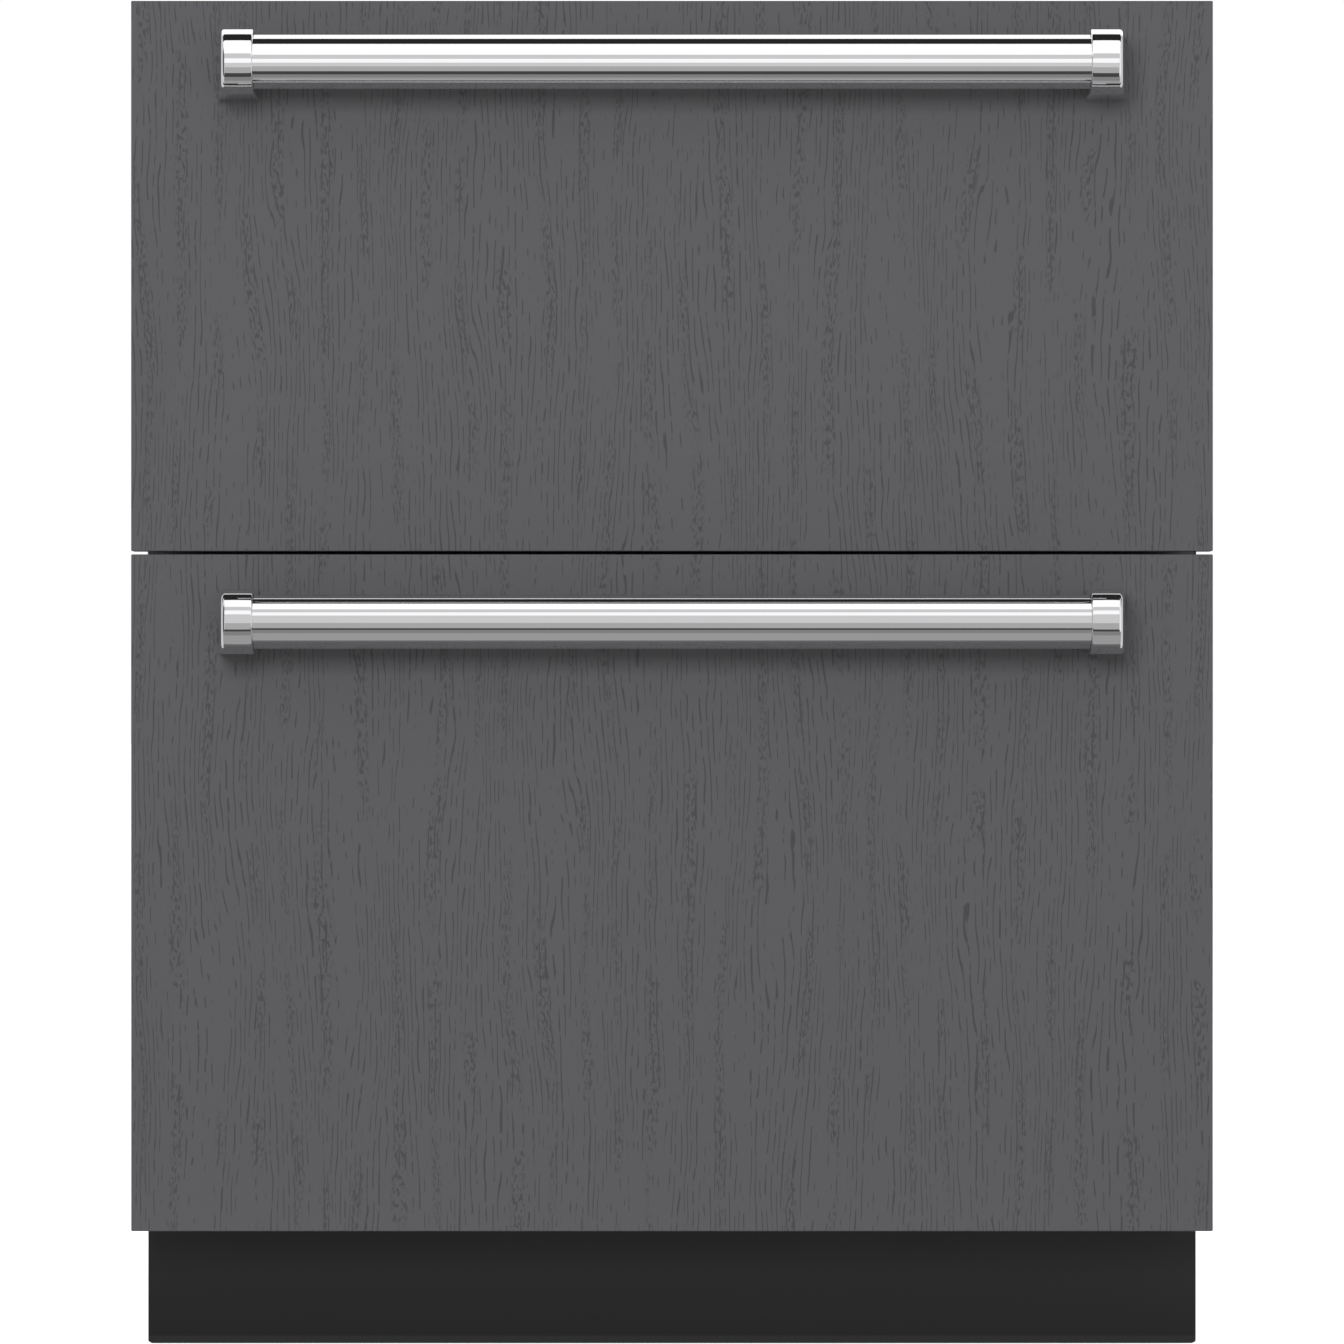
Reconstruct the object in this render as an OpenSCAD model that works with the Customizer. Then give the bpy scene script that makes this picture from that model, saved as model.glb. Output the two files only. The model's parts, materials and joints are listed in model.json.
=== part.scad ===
// Undercounter drawer refrigerator, 27 inch class, with two wood overlay drawer fronts.
// +X is right and +Z is up. The drawers open towards -Y.
// The origin is on the floor, under the middle of the closed appliance.

/* [Overlay panels] */
// Height of the upper drawer's overlay panel
upper_panel_h = 348; // [330:1:400]
// Height of the lower drawer's overlay panel
lower_panel_h = 428; // [420:1:500]
// Thickness of both overlay panels
panel_t = 19; // [16:1:25]
// Gap between the two overlay panels
panel_gap = 2; // [1.5:0.5:5]
// How far each panel stands past the case at either side
panel_overhang = 4; // [0:0.5:8]
// Height of the lower panel's bottom edge above the floor
panel_lift = 80; // [72:1:100]

/* [Case] */
// Width of the steel case
case_w = 676; // [620:1:760]
// Depth from the face of the overlay panels to the back of the case
nominal_d = 610; // [600:1:680]
// How far the top of the case lies under the top edge of the upper panel
case_drop = 8; // [7:0.5:20]
// Thickness of the outer steel sheets
sheet_t = 1.2; // [0.8:0.1:2]
// Thickness of the foam in the walls
foam_t = 44; // [36:1:50]
// Thickness of the inner liner
liner_t = 2; // [1.5:0.5:3]
// Front to back depth of the bars in the front frame
frame_d = 24; // [16:1:30]
// Height of the bar between the two drawers
mullion_h = 50; // [46:1:60]

/* [Base and toe kick] */
// Setback of the toe kick plate from the overlay panels
toe_setback = 75; // [74:1:90]
// Thickness of the toe kick plate
kick_t = 1.5; // [1:0.5:3]
// Gap under the toe kick plate
kick_floor_gap = 0.5; // [0.5:0.5:8]
// Cut corner at each lower end of the toe kick plate
kick_corner = 1.6; // [0:0.2:4]
// Height of the base pan above the floor with its feet screwed in
base_lift = 25; // [22:1:32]
// Thickness of the base pan
base_t = 2; // [1.5:0.5:3]
// Depth of the machine compartment at the back
machine_d = 175; // [170:1:190]
// Top of the machine compartment above the floor
machine_top = 245; // [240:1:260]

/* [Levelling feet] */
// Diameter of each foot's pad
foot_d = 38; // [30:1:50]
// Diameter of each foot's screw
foot_screw_d = 10; // [8:1:12]
// How far each foot can be screwed out
foot_travel = 25; // [10:1:28]
// Distance of the feet from the sides of the case
foot_inset_x = 40; // [30:1:50]
// Distance of the feet from the front and back of the base
foot_inset_y = 42; // [34:1:46]

/* [Drawer fronts] */
// Thickness of the insulated drawer fronts
front_t = 42; // [36:1:50]
// How far each drawer front is narrower than the case at either side
front_inset = 6; // [4:1:9]
// Gap from a drawer front's edge to its overlay panel's edge, at the top and the bottom
front_margin = 4; // [3:1:5]
// Thickness of the plastic plate on the back of each drawer front
inner_plate_t = 3; // [2:0.5:4]
// Width of the door gasket
gasket_w = 16; // [12:1:17]
// Thickness of the door gasket
gasket_t = 10; // [8:1:12]

/* [Handles] */
// Outer diameter of the handle tube
handle_d = 34; // [26:1:36]
// Wall of the handle tube
handle_wall = 2; // [1.5:0.5:3]
// Distance from the overlay panel to the front of the handle posts
handle_projection = 62; // [56:1:75]
// Distance from the top edge of a panel to the axis of its handle
handle_drop = 43; // [30:1:80]
// Distance from the side edge of a panel to the handle post
handle_margin = 55; // [30:1:120]
// Height of each handle post, which is rounded at the front
post_h = 40.6; // [38:0.1:48]
// Width of a post at its foot, on the panel
post_foot_w = 26; // [22:1:34]
// Width of a post at its front
post_front_w = 20.4; // [18:0.1:22]

/* [Drawers] */
// Travel of each drawer, which sets the length of its slides
drawer_travel = 380; // [370:1:382]
// Height of the upper drawer's box
upper_box_h = 190; // [150:1:200]
// Height of the lower drawer's box
lower_box_h = 250; // [235:1:290]
// Thickness of the drawer walls
wall_t = 3; // [2:0.5:4]
// Thickness of the telescopic slide at each side
slide_t = 13; // [13:0.5:16]
// Height of the telescopic slides
slide_h = 46; // [40:1:50]

/* [Cooling] */
// Diameter of the evaporator fan
evap_fan_d = 92; // [70:1:110]
// Diameter of the condenser fan
cond_fan_d = 100; // [86:1:110]
// Diameter of the compressor's shell
compressor_d = 140; // [110:1:146]
// Height of the compressor's shell
compressor_h = 150; // [120:1:160]
// Bore of the gland where the power cord enters
gland_bore = 8.2; // [6:0.1:11]

/* [Hidden] */
$fn = 48;
run_gap = 0.4; // between members that slide
seal_gap = 0.3; // between the closed gasket and the frame
fit_gap = 0.05; // radial, where a tube or a shaft sits in its bore
hole_gap = 0.2; // radial, round screws and bushes
eps = 0.01;
over = 1; // how far a cut runs past the face that it opens

overall_d = handle_projection + nominal_d;
panel_w = case_w + 2 * panel_overhang;

// Planes from the front to the back
y_handle = -overall_d / 2;
y_panel = y_handle + handle_projection;
y_front = y_panel + panel_t;
y_gasket = y_front + front_t;
y_case = y_gasket + gasket_t;
y_frame = y_case + frame_d;
y_kick = y_panel + toe_setback;
y_toe = y_kick + kick_t;
y_back = overall_d / 2;
cover_recess = 4.5; // of the rear cover, from the back of the case
cover_t = 1.5;
y_cover = y_back - cover_recess - cover_t;
y_machine = y_back - machine_d;
y_step = y_machine - sheet_t - foam_t - liner_t;
y_cavity = y_back - sheet_t - foam_t - liner_t;
y_drawer = y_gasket;
slide_setback = 3; // of the slides, from the front of the case
y_slide = y_case + slide_setback;
rail_overlap = 18; // what stays of a slide's members in each other when it is open
y_slide_end = y_slide + drawer_travel + rail_overlap;

// Levels from the floor up
z_lower_top = panel_lift + lower_panel_h;
z_upper = z_lower_top + panel_gap;
z_top = z_upper + upper_panel_h;
z_case_top = z_top - case_drop;
z_case = panel_lift + front_margin;
z_base = base_lift + base_t;
z_floor = z_case + foam_t + liner_t;
z_ceiling = z_case_top - sheet_t - foam_t - liner_t;
z_step = machine_top + sheet_t + foam_t + liner_t;
z_mullion = z_lower_top + panel_gap / 2;

// Half widths
case_hw = case_w / 2;
sheet_hw = case_hw - sheet_t;
liner_hw = sheet_hw - foam_t;
cavity_hw = liner_hw - liner_t;
front_hw = case_hw - front_inset;
box_hw = cavity_hw - slide_t;
box_in_hw = box_hw - wall_t;

// Drawer boxes
box_clear = 12; // under each box
upper_box = z_mullion + mullion_h / 2 + box_clear;
upper_box_top = upper_box + upper_box_h;
lower_box = z_floor + box_clear;
lower_box_top = lower_box + lower_box_h;
box_step_gap = 9; // between the lower box and the step of the cavity
y_box_step = y_step - box_step_gap;
z_box_step = z_step + box_clear;
y_box_end = y_slide_end;
upper_slide_lift = 30;
lower_slide_lift = 6;
upper_slide_z = upper_box + slide_h / 2 + upper_slide_lift;
lower_slide_z = z_box_step + slide_h / 2 + lower_slide_lift;

// Handles
post_r = post_h / 2;
y_grip = y_handle + post_r;
post_x = panel_w / 2 - handle_margin - post_foot_w; // inner face of a post
socket_depth = 12;
screw_d = 5;
screw_head_d = 9.5;
screw_head_t = 4;
y_head = y_front - screw_head_t - 1; // the heads sit just under the panel's back face
screw_pitch = 24;
screw_bite = 22;
screw_x = post_x + post_front_w / 2;

// Cooling parts
duct_gap = 12; // from the drawers to the air duct cover
duct_t = 3;
y_duct = y_slide_end + duct_gap;
evap_fan_drop = 30; // from the ceiling to the evaporator fan's wheel
evap_fan_gap = 8;
evap_fan_z = z_ceiling - evap_fan_d / 2 - evap_fan_drop;
evap_fan_y = y_duct + duct_t + evap_fan_gap;
blade_depth = 18;
motor_gap = 3; // from a fan wheel to its motor
machine_setoff = 1; // of the machinery, in front of the middle of its compartment
machine_y = (y_machine + y_cover) / 2 - machine_setoff;
cond_fan_lift = 30;
cond_fan_gap = 4;
cond_fan_z = z_base + cond_fan_d / 2 + cond_fan_lift;
cond_coil_inset = 130; // from the cavity's right wall to the condenser
cond_coil_x = cavity_hw - cond_coil_inset;
cond_coil_w = 45;
shroud_t = 14;
shroud_x = cond_coil_x - shroud_t;
cond_fan_x = shroud_x - blade_depth - cond_fan_gap;
compressor_inset = 110; // from the left side to the compressor's shell
compressor_x = -case_hw + compressor_d / 2 + compressor_inset;
grommet_h = 15;
foot_plate_t = 3;
z_compressor = z_base + grommet_h + foot_plate_t;
stub_d = 10;
discharge_len = 12;
discharge_y = machine_y - stub_d;
discharge_z = z_compressor + compressor_h * 0.3;
discharge_x = compressor_x + compressor_d / 2 + discharge_len;
suction_offset = 30;
suction_len = 6;
suction_x = compressor_x - suction_offset;
suction_z = z_compressor + compressor_h + suction_len;
lip_h = 20;
gland_inset = 90; // from the right side to the gland
gland_lift = 40;
gland_x = sheet_hw - gland_inset;
gland_z = z_base + gland_lift;
gland_len = 21.5;

// ---------- shapes that repeat ----------

// A box from its limits along each axis
module block(x, y, z) {
    translate([x[0], y[0], z[0]]) cube([x[1] - x[0], y[1] - y[0], z[1] - z[0]]);
}

module both_sides() {
    children();
    mirror([1, 0, 0]) children();
}

// A flat shape drawn in (y, z), pushed along X
module along_x(x0, x1) {
    translate([x0, 0, 0]) rotate([90, 0, 90]) linear_extrude(x1 - x0) children();
}

// A flat shape drawn in (x, z), pushed along Y
module along_y(y0, y1) {
    translate([0, y1, 0]) rotate([90, 0, 0]) linear_extrude(y1 - y0) children();
}

module rod_x(d, x0, x1) {
    translate([x0, 0, 0]) rotate([0, 90, 0]) cylinder(d = d, h = x1 - x0);
}

module rod_y(d, y0, y1) {
    translate([0, y1, 0]) rotate([90, 0, 0]) cylinder(d = d, h = y1 - y0);
}

module rod_z(d, z0, z1) {
    translate([0, 0, z0]) cylinder(d = d, h = z1 - z0);
}

// A pipe through a list of points, with a ball at each bend
module pipe(points, d) {
    for (i = [0 : len(points) - 2]) {
        run = points[i + 1] - points[i];
        length = norm(run);
        translate(points[i])
            rotate([0, acos(run[2] / length), atan2(run[1], run[0])])
                cylinder(d = d, h = length);
        if (i > 0) translate(points[i]) sphere(d = d);
    }
}

// A U channel in (x, z): the web is at x0 and the flanges reach to x1
module channel(x0, x1, half_h, t) {
    web = sign(x1 - x0) * t;
    polygon([
        [x0, -half_h], [x1, -half_h], [x1, -half_h + t], [x0 + web, -half_h + t],
        [x0 + web, half_h - t], [x1, half_h - t], [x1, half_h], [x0, half_h]
    ]);
}

// ---------- case ----------

module side_panel_right() {
    color("dimgray")
        along_x(sheet_hw, case_hw)
            polygon([
                [y_toe, base_lift], [y_back, base_lift], [y_back, z_case_top],
                [y_case, z_case_top], [y_case, z_case], [y_toe, z_case]
            ]);
}

module side_panel_left() {
    mirror([1, 0, 0]) side_panel_right();
}

module top_panel() {
    color("dimgray")
        block([-sheet_hw, sheet_hw], [y_case, y_back], [z_case_top - sheet_t, z_case_top]);
}

module back_panel() {
    color("silver")
        block([-sheet_hw, sheet_hw], [y_back - sheet_t, y_back],
              [machine_top, z_case_top - sheet_t]);
}

foot_x = case_hw - foot_inset_x;
foot_front_y = y_toe + foot_inset_y;
foot_back_y = y_back - foot_inset_y;
boss_wall = 7;
boss_d = foot_screw_d + 2 * boss_wall;
boss_h = 20;
foot_grip = 12; // of the screw in the base with the foot screwed out

module at_feet() {
    for (x = [-foot_x, foot_x], y = [foot_front_y, foot_back_y])
        translate([x, y, 0]) children();
}

// The pan that carries the machinery, with a lip for the kick plate in front,
// a lip for the rear cover behind, and a threaded boss over each foot
module base_pan() {
    color("gray")
        difference() {
            union() {
                block([-sheet_hw, sheet_hw], [y_toe, y_cover], [base_lift, z_base]);
                block([-sheet_hw, sheet_hw], [y_toe, y_toe + sheet_t],
                      [base_lift, z_base + lip_h]);
                block([-sheet_hw, sheet_hw], [y_cover - sheet_t, y_cover],
                      [base_lift, z_base + lip_h]);
                at_feet() rod_z(boss_d, base_lift, base_lift + boss_h);
            }
            at_feet()
                rod_z(foot_screw_d + 2 * hole_gap, base_lift - over, base_lift + boss_h + over);
            at_cover_screws(-1) cover_screw_hole();
        }
}

// The bent sheet under the cabinet's floor and over the machine compartment
module machine_bulkhead() {
    color("silver")
        difference() {
            along_x(-sheet_hw, sheet_hw)
                polygon([
                    [y_toe, z_case - sheet_t], [y_machine, z_case - sheet_t],
                    [y_machine, machine_top], [y_cover - sheet_t, machine_top],
                    [y_cover - sheet_t, machine_top - lip_h], [y_cover, machine_top - lip_h],
                    [y_cover, machine_top], [y_back - sheet_t, machine_top],
                    [y_back - sheet_t, machine_top + sheet_t],
                    [y_machine - sheet_t, machine_top + sheet_t],
                    [y_machine - sheet_t, z_case], [y_toe, z_case]
                ]);
            at_cover_screws(1) cover_screw_hole();
        }
}

// Two stiles and three rails, which the gaskets close against
module front_frame() {
    color("#3a3a3c") {
        both_sides()
            block([cavity_hw, sheet_hw], [y_case, y_frame], [z_case, z_case_top - sheet_t]);
        block([-cavity_hw, cavity_hw], [y_case, y_frame], [z_ceiling, z_case_top - sheet_t]);
        block([-cavity_hw, cavity_hw], [y_case, y_frame],
              [z_mullion - mullion_h / 2, z_mullion + mullion_h / 2]);
        block([-cavity_hw, cavity_hw], [y_case, y_frame], [z_case, z_floor]);
    }
}

// The cavity's outline in (y, z), with every wall moved out by grow
module cavity_outline(grow, front) {
    polygon([
        [front, z_floor - grow], [y_step + grow, z_floor - grow],
        [y_step + grow, z_step - grow], [y_cavity + grow, z_step - grow],
        [y_cavity + grow, z_ceiling + grow], [front, z_ceiling + grow]
    ]);
}

module inner_liner() {
    color("whitesmoke")
        difference() {
            along_x(-liner_hw, liner_hw) cavity_outline(liner_t, y_frame);
            along_x(-cavity_hw, cavity_hw) cavity_outline(0, y_frame - over);
        }
}

// The foam, as slabs that meet face to face
module insulation() {
    foam_top = z_case_top - sheet_t;
    foam_back = y_back - sheet_t;
    roof = machine_top + sheet_t;
    bulkhead = y_machine - sheet_t;
    color("khaki") {
        both_sides() {
            block([liner_hw, sheet_hw], [y_frame, bulkhead], [z_case, roof]);
            block([liner_hw, sheet_hw], [y_frame, foam_back], [roof, foam_top]);
        }
        block([-liner_hw, liner_hw], [y_frame, foam_back], [z_ceiling + liner_t, foam_top]);
        block([-liner_hw, liner_hw], [y_cavity + liner_t, foam_back],
              [roof, z_ceiling + liner_t]);
        block([-liner_hw, liner_hw], [bulkhead - foam_t, y_cavity + liner_t],
              [roof, roof + foam_t]);
        block([-liner_hw, liner_hw], [bulkhead - foam_t, bulkhead], [z_case, roof]);
        block([-liner_hw, liner_hw], [y_frame, bulkhead - foam_t],
              [z_case, z_floor - liner_t]);
    }
}

module kickplate() {
    top = z_case - sheet_t - seal_gap;
    flange = 12;
    side_gap = 1;
    color("#1c1c1c") {
        along_y(y_kick, y_toe)
            polygon([
                [-case_hw, kick_floor_gap + kick_corner],
                [-case_hw + kick_corner, kick_floor_gap],
                [case_hw - kick_corner, kick_floor_gap],
                [case_hw, kick_floor_gap + kick_corner], [case_hw, top], [-case_hw, top]
            ]);
        block([-sheet_hw + side_gap, sheet_hw - side_gap], [y_toe - eps, y_toe + flange],
              [top - kick_t, top]);
    }
}

cover_screw_d = 4;
cover_screw_len = 8;
cover_screw_inset = 40;
cover_screw_x = sheet_hw - cover_screw_inset;

// The four screws of the rear cover: level -1 is the lower row and 1 the upper
module at_cover_screws(level) {
    z = level < 0 ? z_base + lip_h / 2 : machine_top - lip_h / 2;
    for (x = [-cover_screw_x, cover_screw_x]) translate([x, 0, z]) children();
}

module at_all_cover_screws() {
    at_cover_screws(-1) children();
    at_cover_screws(1) children();
}

// A hole in a lip that the rear cover is screwed to
module cover_screw_hole() {
    rod_y(cover_screw_d + 2 * hole_gap, y_cover - cover_screw_len - over, y_cover + over);
}

module rear_cover() {
    edge = 0.5;
    bottom = z_base + edge;
    top = machine_top - edge;
    slot_w = 60;
    slot_h = 4;
    slot_rows = 7;
    slot_step = 85;
    slot_margin = 45;
    slot_pitch = (top - bottom - 2 * slot_margin) / (slot_rows - 1);
    outside = y_cover + cover_t;
    color("silver")
        difference() {
            block([-sheet_hw + edge, sheet_hw - edge], [y_cover, outside], [bottom, top]);
            for (column = [-2 : 2], row = [0 : slot_rows - 1])
                translate([column * slot_step, 0, bottom + slot_margin + row * slot_pitch])
                    block([-slot_w / 2, slot_w / 2], [y_cover - over, outside + over],
                          [0, slot_h]);
            at_all_cover_screws()
                rod_y(cover_screw_d + 2 * hole_gap, y_cover - over, outside + over);
            translate([gland_x, 0, gland_z])
                rod_y(gland_body_d + 2 * hole_gap, y_cover - over, outside + over);
        }
}

module rear_cover_screws() {
    head_t = 2.4;
    outside = y_cover + cover_t;
    color("silver")
        at_all_cover_screws() {
            rod_y(cover_screw_d, y_cover - cover_screw_len, outside + eps);
            rod_y(cover_screw_d * 2, outside, outside + head_t);
        }
}

gland_wall = 5;
gland_body_d = gland_bore + 2 * gland_wall;

// The bush that the power cord enters by, with a flange outside the rear cover
module cord_gland() {
    flange_t = 3;
    flange_w = 4;
    mouth = y_cover + cover_t + flange_t;
    color("#202020")
        translate([gland_x, 0, gland_z])
            difference() {
                union() {
                    rod_y(gland_body_d, mouth - gland_len, mouth);
                    rod_y(gland_body_d + 2 * flange_w, mouth - flange_t, mouth);
                }
                rod_y(gland_bore, mouth - gland_len - over, mouth + over);
            }
}

bracket_x = 210;
bracket_hole_d = 6;
bracket_hole_setback = 8;

// Z brackets on the case, which are screwed up into the counter
module counter_brackets() {
    t = 2;
    width = 60;
    nose = 4; // past the front of the case
    bend = y_case + 22;
    foot_len = 30;
    top = z_case_top + case_drop - 1;
    color("silver")
        both_sides()
            difference() {
                along_x(bracket_x - width / 2, bracket_x + width / 2)
                    polygon([
                        [bend, z_case_top], [bend + foot_len, z_case_top],
                        [bend + foot_len, z_case_top + t], [bend + t, z_case_top + t],
                        [bend + t, top], [y_case - nose, top], [y_case - nose, top - t],
                        [bend, top - t]
                    ]);
                translate([bracket_x, y_case + bracket_hole_setback, 0])
                    rod_z(bracket_hole_d, z_case_top, top + over);
            }
}

// ---------- feet ----------

module foot(x, y) {
    pad_h = 6;
    nut_h = 8;
    nut_wall = 4.5;
    color("#2b2b2b")
        translate([x, y, 0]) {
            rod_z(foot_d, 0, pad_h);
            translate([0, 0, pad_h - eps]) cylinder(d = foot_screw_d + 2 * nut_wall, h = nut_h, $fn = 6);
            rod_z(foot_screw_d, pad_h, base_lift + foot_travel + foot_grip);
        }
}

// ---------- controls and light ----------

module control_panel() {
    depth = 56;
    height = 22;
    half_w = 120;
    edge_h = 8;
    slope_d = 16;
    key_d = 12;
    key_pitch = 34;
    key_t = 1;
    key_y = y_frame + (slope_d + depth) / 2;
    low = z_ceiling - height;
    color("#111214")
        difference() {
            along_x(-half_w, half_w)
                polygon([
                    [y_frame, z_ceiling], [y_frame, z_ceiling - edge_h],
                    [y_frame + slope_d, low], [y_frame + depth, low],
                    [y_frame + depth, z_ceiling]
                ]);
            for (i = [-2 : 2])
                translate([i * key_pitch, key_y, 0]) rod_z(key_d, low - over, low + key_t);
        }
}

module light_bars() {
    half_w = 190;
    bar_t = 8;
    ceiling_bar_w = 20;
    ceiling_bar_y = y_frame + 64;
    low_bar_w = 14;
    low_bar_top = z_mullion - 4;
    color("white") {
        block([-half_w, half_w], [ceiling_bar_y, ceiling_bar_y + ceiling_bar_w],
              [z_ceiling - bar_t, z_ceiling]);
        block([-half_w, half_w], [y_frame, y_frame + bar_t],
              [low_bar_top - low_bar_w, low_bar_top]);
    }
}

// ---------- cooling ----------

// Fins on tube passes. The tubes run along X, and rows stand along Y and Z.
module fin_coil(half_len, depth, height, fins, rows, tube_d) {
    fin_t = 0.8;
    bend_d = tube_d - 0.6; // the return bends sit inside the tubes' ends
    pitch_z = height / rows;
    for (i = [0 : fins - 1]) {
        x = -half_len + i * 2 * half_len / (fins - 1);
        block([x - fin_t / 2, x + fin_t / 2], [0, depth], [0, height]);
    }
    for (row = [0 : rows - 1])
        translate([0, depth / 2, pitch_z * (row + 0.5)])
            rod_x(tube_d, -half_len - coil_stub, half_len + coil_stub);
    for (row = [0 : rows - 2])
        translate([(row % 2 == 0 ? 1 : -1) * (half_len + coil_stub), depth / 2,
                   pitch_z * (row + 1)])
            rotate([90, 0, 0])
                rotate([0, 0, row % 2 == 0 ? -90 : 90])
                    rotate_extrude(angle = 180)
                        translate([pitch_z / 2, 0]) circle(d = bend_d);
}

evap_side_gap = 70;
evap_front_gap = 10;
evap_lift = 40; // above the step of the cavity, for the drain
evap_headroom = 35; // under the fan
evap_half_len = cavity_hw - evap_side_gap;
evap_y = y_duct + duct_t + evap_front_gap;
evap_z = z_step + evap_lift;
evap_h = evap_fan_z - evap_fan_d / 2 - evap_headroom - evap_z;

module evaporator_coil() {
    depth = 34;
    tube_d = 9;
    hanger_t = 2;
    hanger_x = evap_half_len - 30;
    hanger_reach = 6;
    color("gainsboro") {
        translate([0, evap_y, evap_z]) fin_coil(evap_half_len, depth, evap_h, 24, 6, tube_d);
        both_sides()
            block([hanger_x, hanger_x + hanger_t], [evap_y, y_cavity],
                  [evap_z - hanger_reach, evap_z + evap_h + hanger_reach]);
    }
}

// The cover over the evaporator, with side flanges that seat on the liner's back
module evaporator_cover() {
    edge = 4;
    half_w = cavity_hw - edge;
    bottom = z_step + edge;
    top = z_ceiling - edge;
    back = y_duct + duct_t;
    opening_d = evap_fan_d + 8;
    guard_t = 2;
    first_ring_d = 30;
    ring_step = 24;
    vent_w = 30;
    vent_h = 6;
    vent_pitch = 42;
    vent_lift = 14;
    color("white") {
        difference() {
            union() {
                block([-half_w, half_w], [y_duct, back], [bottom, top]);
                both_sides()
                    block([half_w - duct_t, half_w], [y_duct, y_cavity], [bottom, top]);
            }
            translate([0, 0, evap_fan_z]) rod_y(opening_d, y_duct - over, back + over);
            for (i = [-5 : 5])
                translate([i * vent_pitch, 0, bottom + vent_lift])
                    block([-vent_w / 2, vent_w / 2], [y_duct - over, back + over], [0, vent_h]);
        }
        translate([0, 0, evap_fan_z]) {
            for (d = [first_ring_d : ring_step : evap_fan_d])
                difference() {
                    rod_y(d + 2 * guard_t, y_duct, back);
                    rod_y(d, y_duct - over, back + over);
                }
            for (a = [0 : 60 : 120])
                rotate([0, a, 0])
                    block([-opening_d / 2 - over, opening_d / 2 + over], [y_duct, back],
                          [-guard_t / 2, guard_t / 2]);
        }
    }
}

shaft_d = 4;
shaft_len = 10; // behind the wheel

// An axial fan wheel on the Y axis, from y 0 to blade_depth, with its shaft behind
module fan_wheel(d, blades) {
    hub_d = d * 0.34;
    hub_wall = 2.5;
    hub_face = 3;
    blade_t = 1.6;
    blade_angle = 35;
    blade_reach = blade_depth * 0.8;
    tip_gap = 1;
    root = 2; // of a blade, inside the hub
    difference() {
        union() {
            rod_y(hub_d, 0, blade_depth);
            intersection() {
                rod_y(d - 2 * tip_gap, 0, blade_depth);
                for (i = [0 : blades - 1])
                    rotate([0, i * 360 / blades, 0])
                        translate([0, blade_depth / 2, hub_d / 2 - root])
                            rotate([0, 0, blade_angle])
                                block([-blade_reach, blade_reach], [-blade_t / 2, blade_t / 2],
                                      [0, d / 2]);
            }
        }
        rod_y(hub_d - 2 * hub_wall, hub_face, blade_depth + over);
    }
    rod_y(shaft_d, hub_face - over, blade_depth + shaft_len);
}

motor_y = blade_depth + motor_gap;

// The motor behind a fan wheel, with a blind bore for the shaft
module fan_motor(body_d, length) {
    difference() {
        rod_y(body_d, motor_y, motor_y + length);
        rod_y(shaft_d + 2 * fit_gap, blade_depth, blade_depth + shaft_len + over);
    }
}

module evaporator_fan_blade() {
    color("white") translate([0, evap_fan_y, evap_fan_z]) fan_wheel(evap_fan_d, 5);
}

module evaporator_fan_motor() {
    body_d = 34;
    bracket_w = 14;
    bracket_t = 3;
    length = y_cavity - evap_fan_y - motor_y;
    color("#26272a")
        translate([0, evap_fan_y, evap_fan_z]) {
            fan_motor(body_d, length);
            block([-evap_fan_d / 2, evap_fan_d / 2],
                  [motor_y + length - bracket_t, motor_y + length],
                  [-bracket_w / 2, bracket_w / 2]);
        }
}

module condenser_fan_blade() {
    ring_gap = 3; // from the blades to the shroud's opening
    color("#303134")
        translate([cond_fan_x + blade_depth, machine_y, cond_fan_z])
            rotate([0, 0, 90]) fan_wheel(cond_fan_d - 2 * ring_gap, 5);
}

// The motor is held by four arms, which seat on the shroud
module condenser_fan_motor() {
    body_d = 44;
    length = 34;
    reach = cond_fan_d / 2 + 8;
    arm = 6;
    back = motor_y + arm;
    root = 2; // of an arm, inside the motor
    color("#1d1e20")
        translate([cond_fan_x + blade_depth, machine_y, cond_fan_z])
            rotate([0, 0, 90]) {
                fan_motor(body_d, length);
                for (a = [0 : 90 : 270])
                    rotate([0, a + 45, 0]) {
                        block([body_d / 2 - root, reach], [motor_y, back], [-arm / 2, arm / 2]);
                        block([reach - arm, reach], [cond_arm_y, back], [-arm / 2, arm / 2]);
                    }
            }
}

// Where the motor's arms meet the shroud, in the fan's own frame
cond_arm_y = cond_fan_x + blade_depth - shroud_x;

coil_end_gap = 42; // for the return bends and what they clear
coil_half_len = machine_d / 2 - coil_end_gap;
coil_stub = 12; // of a coil's tubes, past its last fin
coil_headroom = 34;
cond_coil_h = machine_top - z_base - coil_headroom;
cond_rows = 6;

module condenser_fan_shroud() {
    wall = 3;
    rim = 6;
    half_w = cond_fan_d / 2 + rim;
    color("#3c3d40")
        difference() {
            block([shroud_x, cond_coil_x], [machine_y - half_w, machine_y + half_w],
                  [z_base, z_base + cond_coil_h]);
            block([shroud_x + wall, cond_coil_x + over],
                  [machine_y - half_w + wall, machine_y + half_w - wall],
                  [z_base + wall, z_base + cond_coil_h - wall]);
            translate([0, machine_y, cond_fan_z])
                rod_x(cond_fan_d, shroud_x - over, shroud_x + wall + over);
        }
}

module condenser_coil() {
    tube_d = 8;
    color("#4a4b4d")
        translate([cond_coil_x + cond_coil_w, machine_y, z_base])
            rotate([0, 0, 90])
                fin_coil(coil_half_len, cond_coil_w, cond_coil_h, 20, cond_rows, tube_d);
}

// Half sizes of the plate under the compressor, and where its rubber feet stand
plate_x = compressor_d * 0.62 + 18;
plate_y = compressor_d * 0.5;
grommet_d = 22;
grommet_hole_d = 8;
grommet_edge = 14; // from a grommet's middle to the plate's edge

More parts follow.
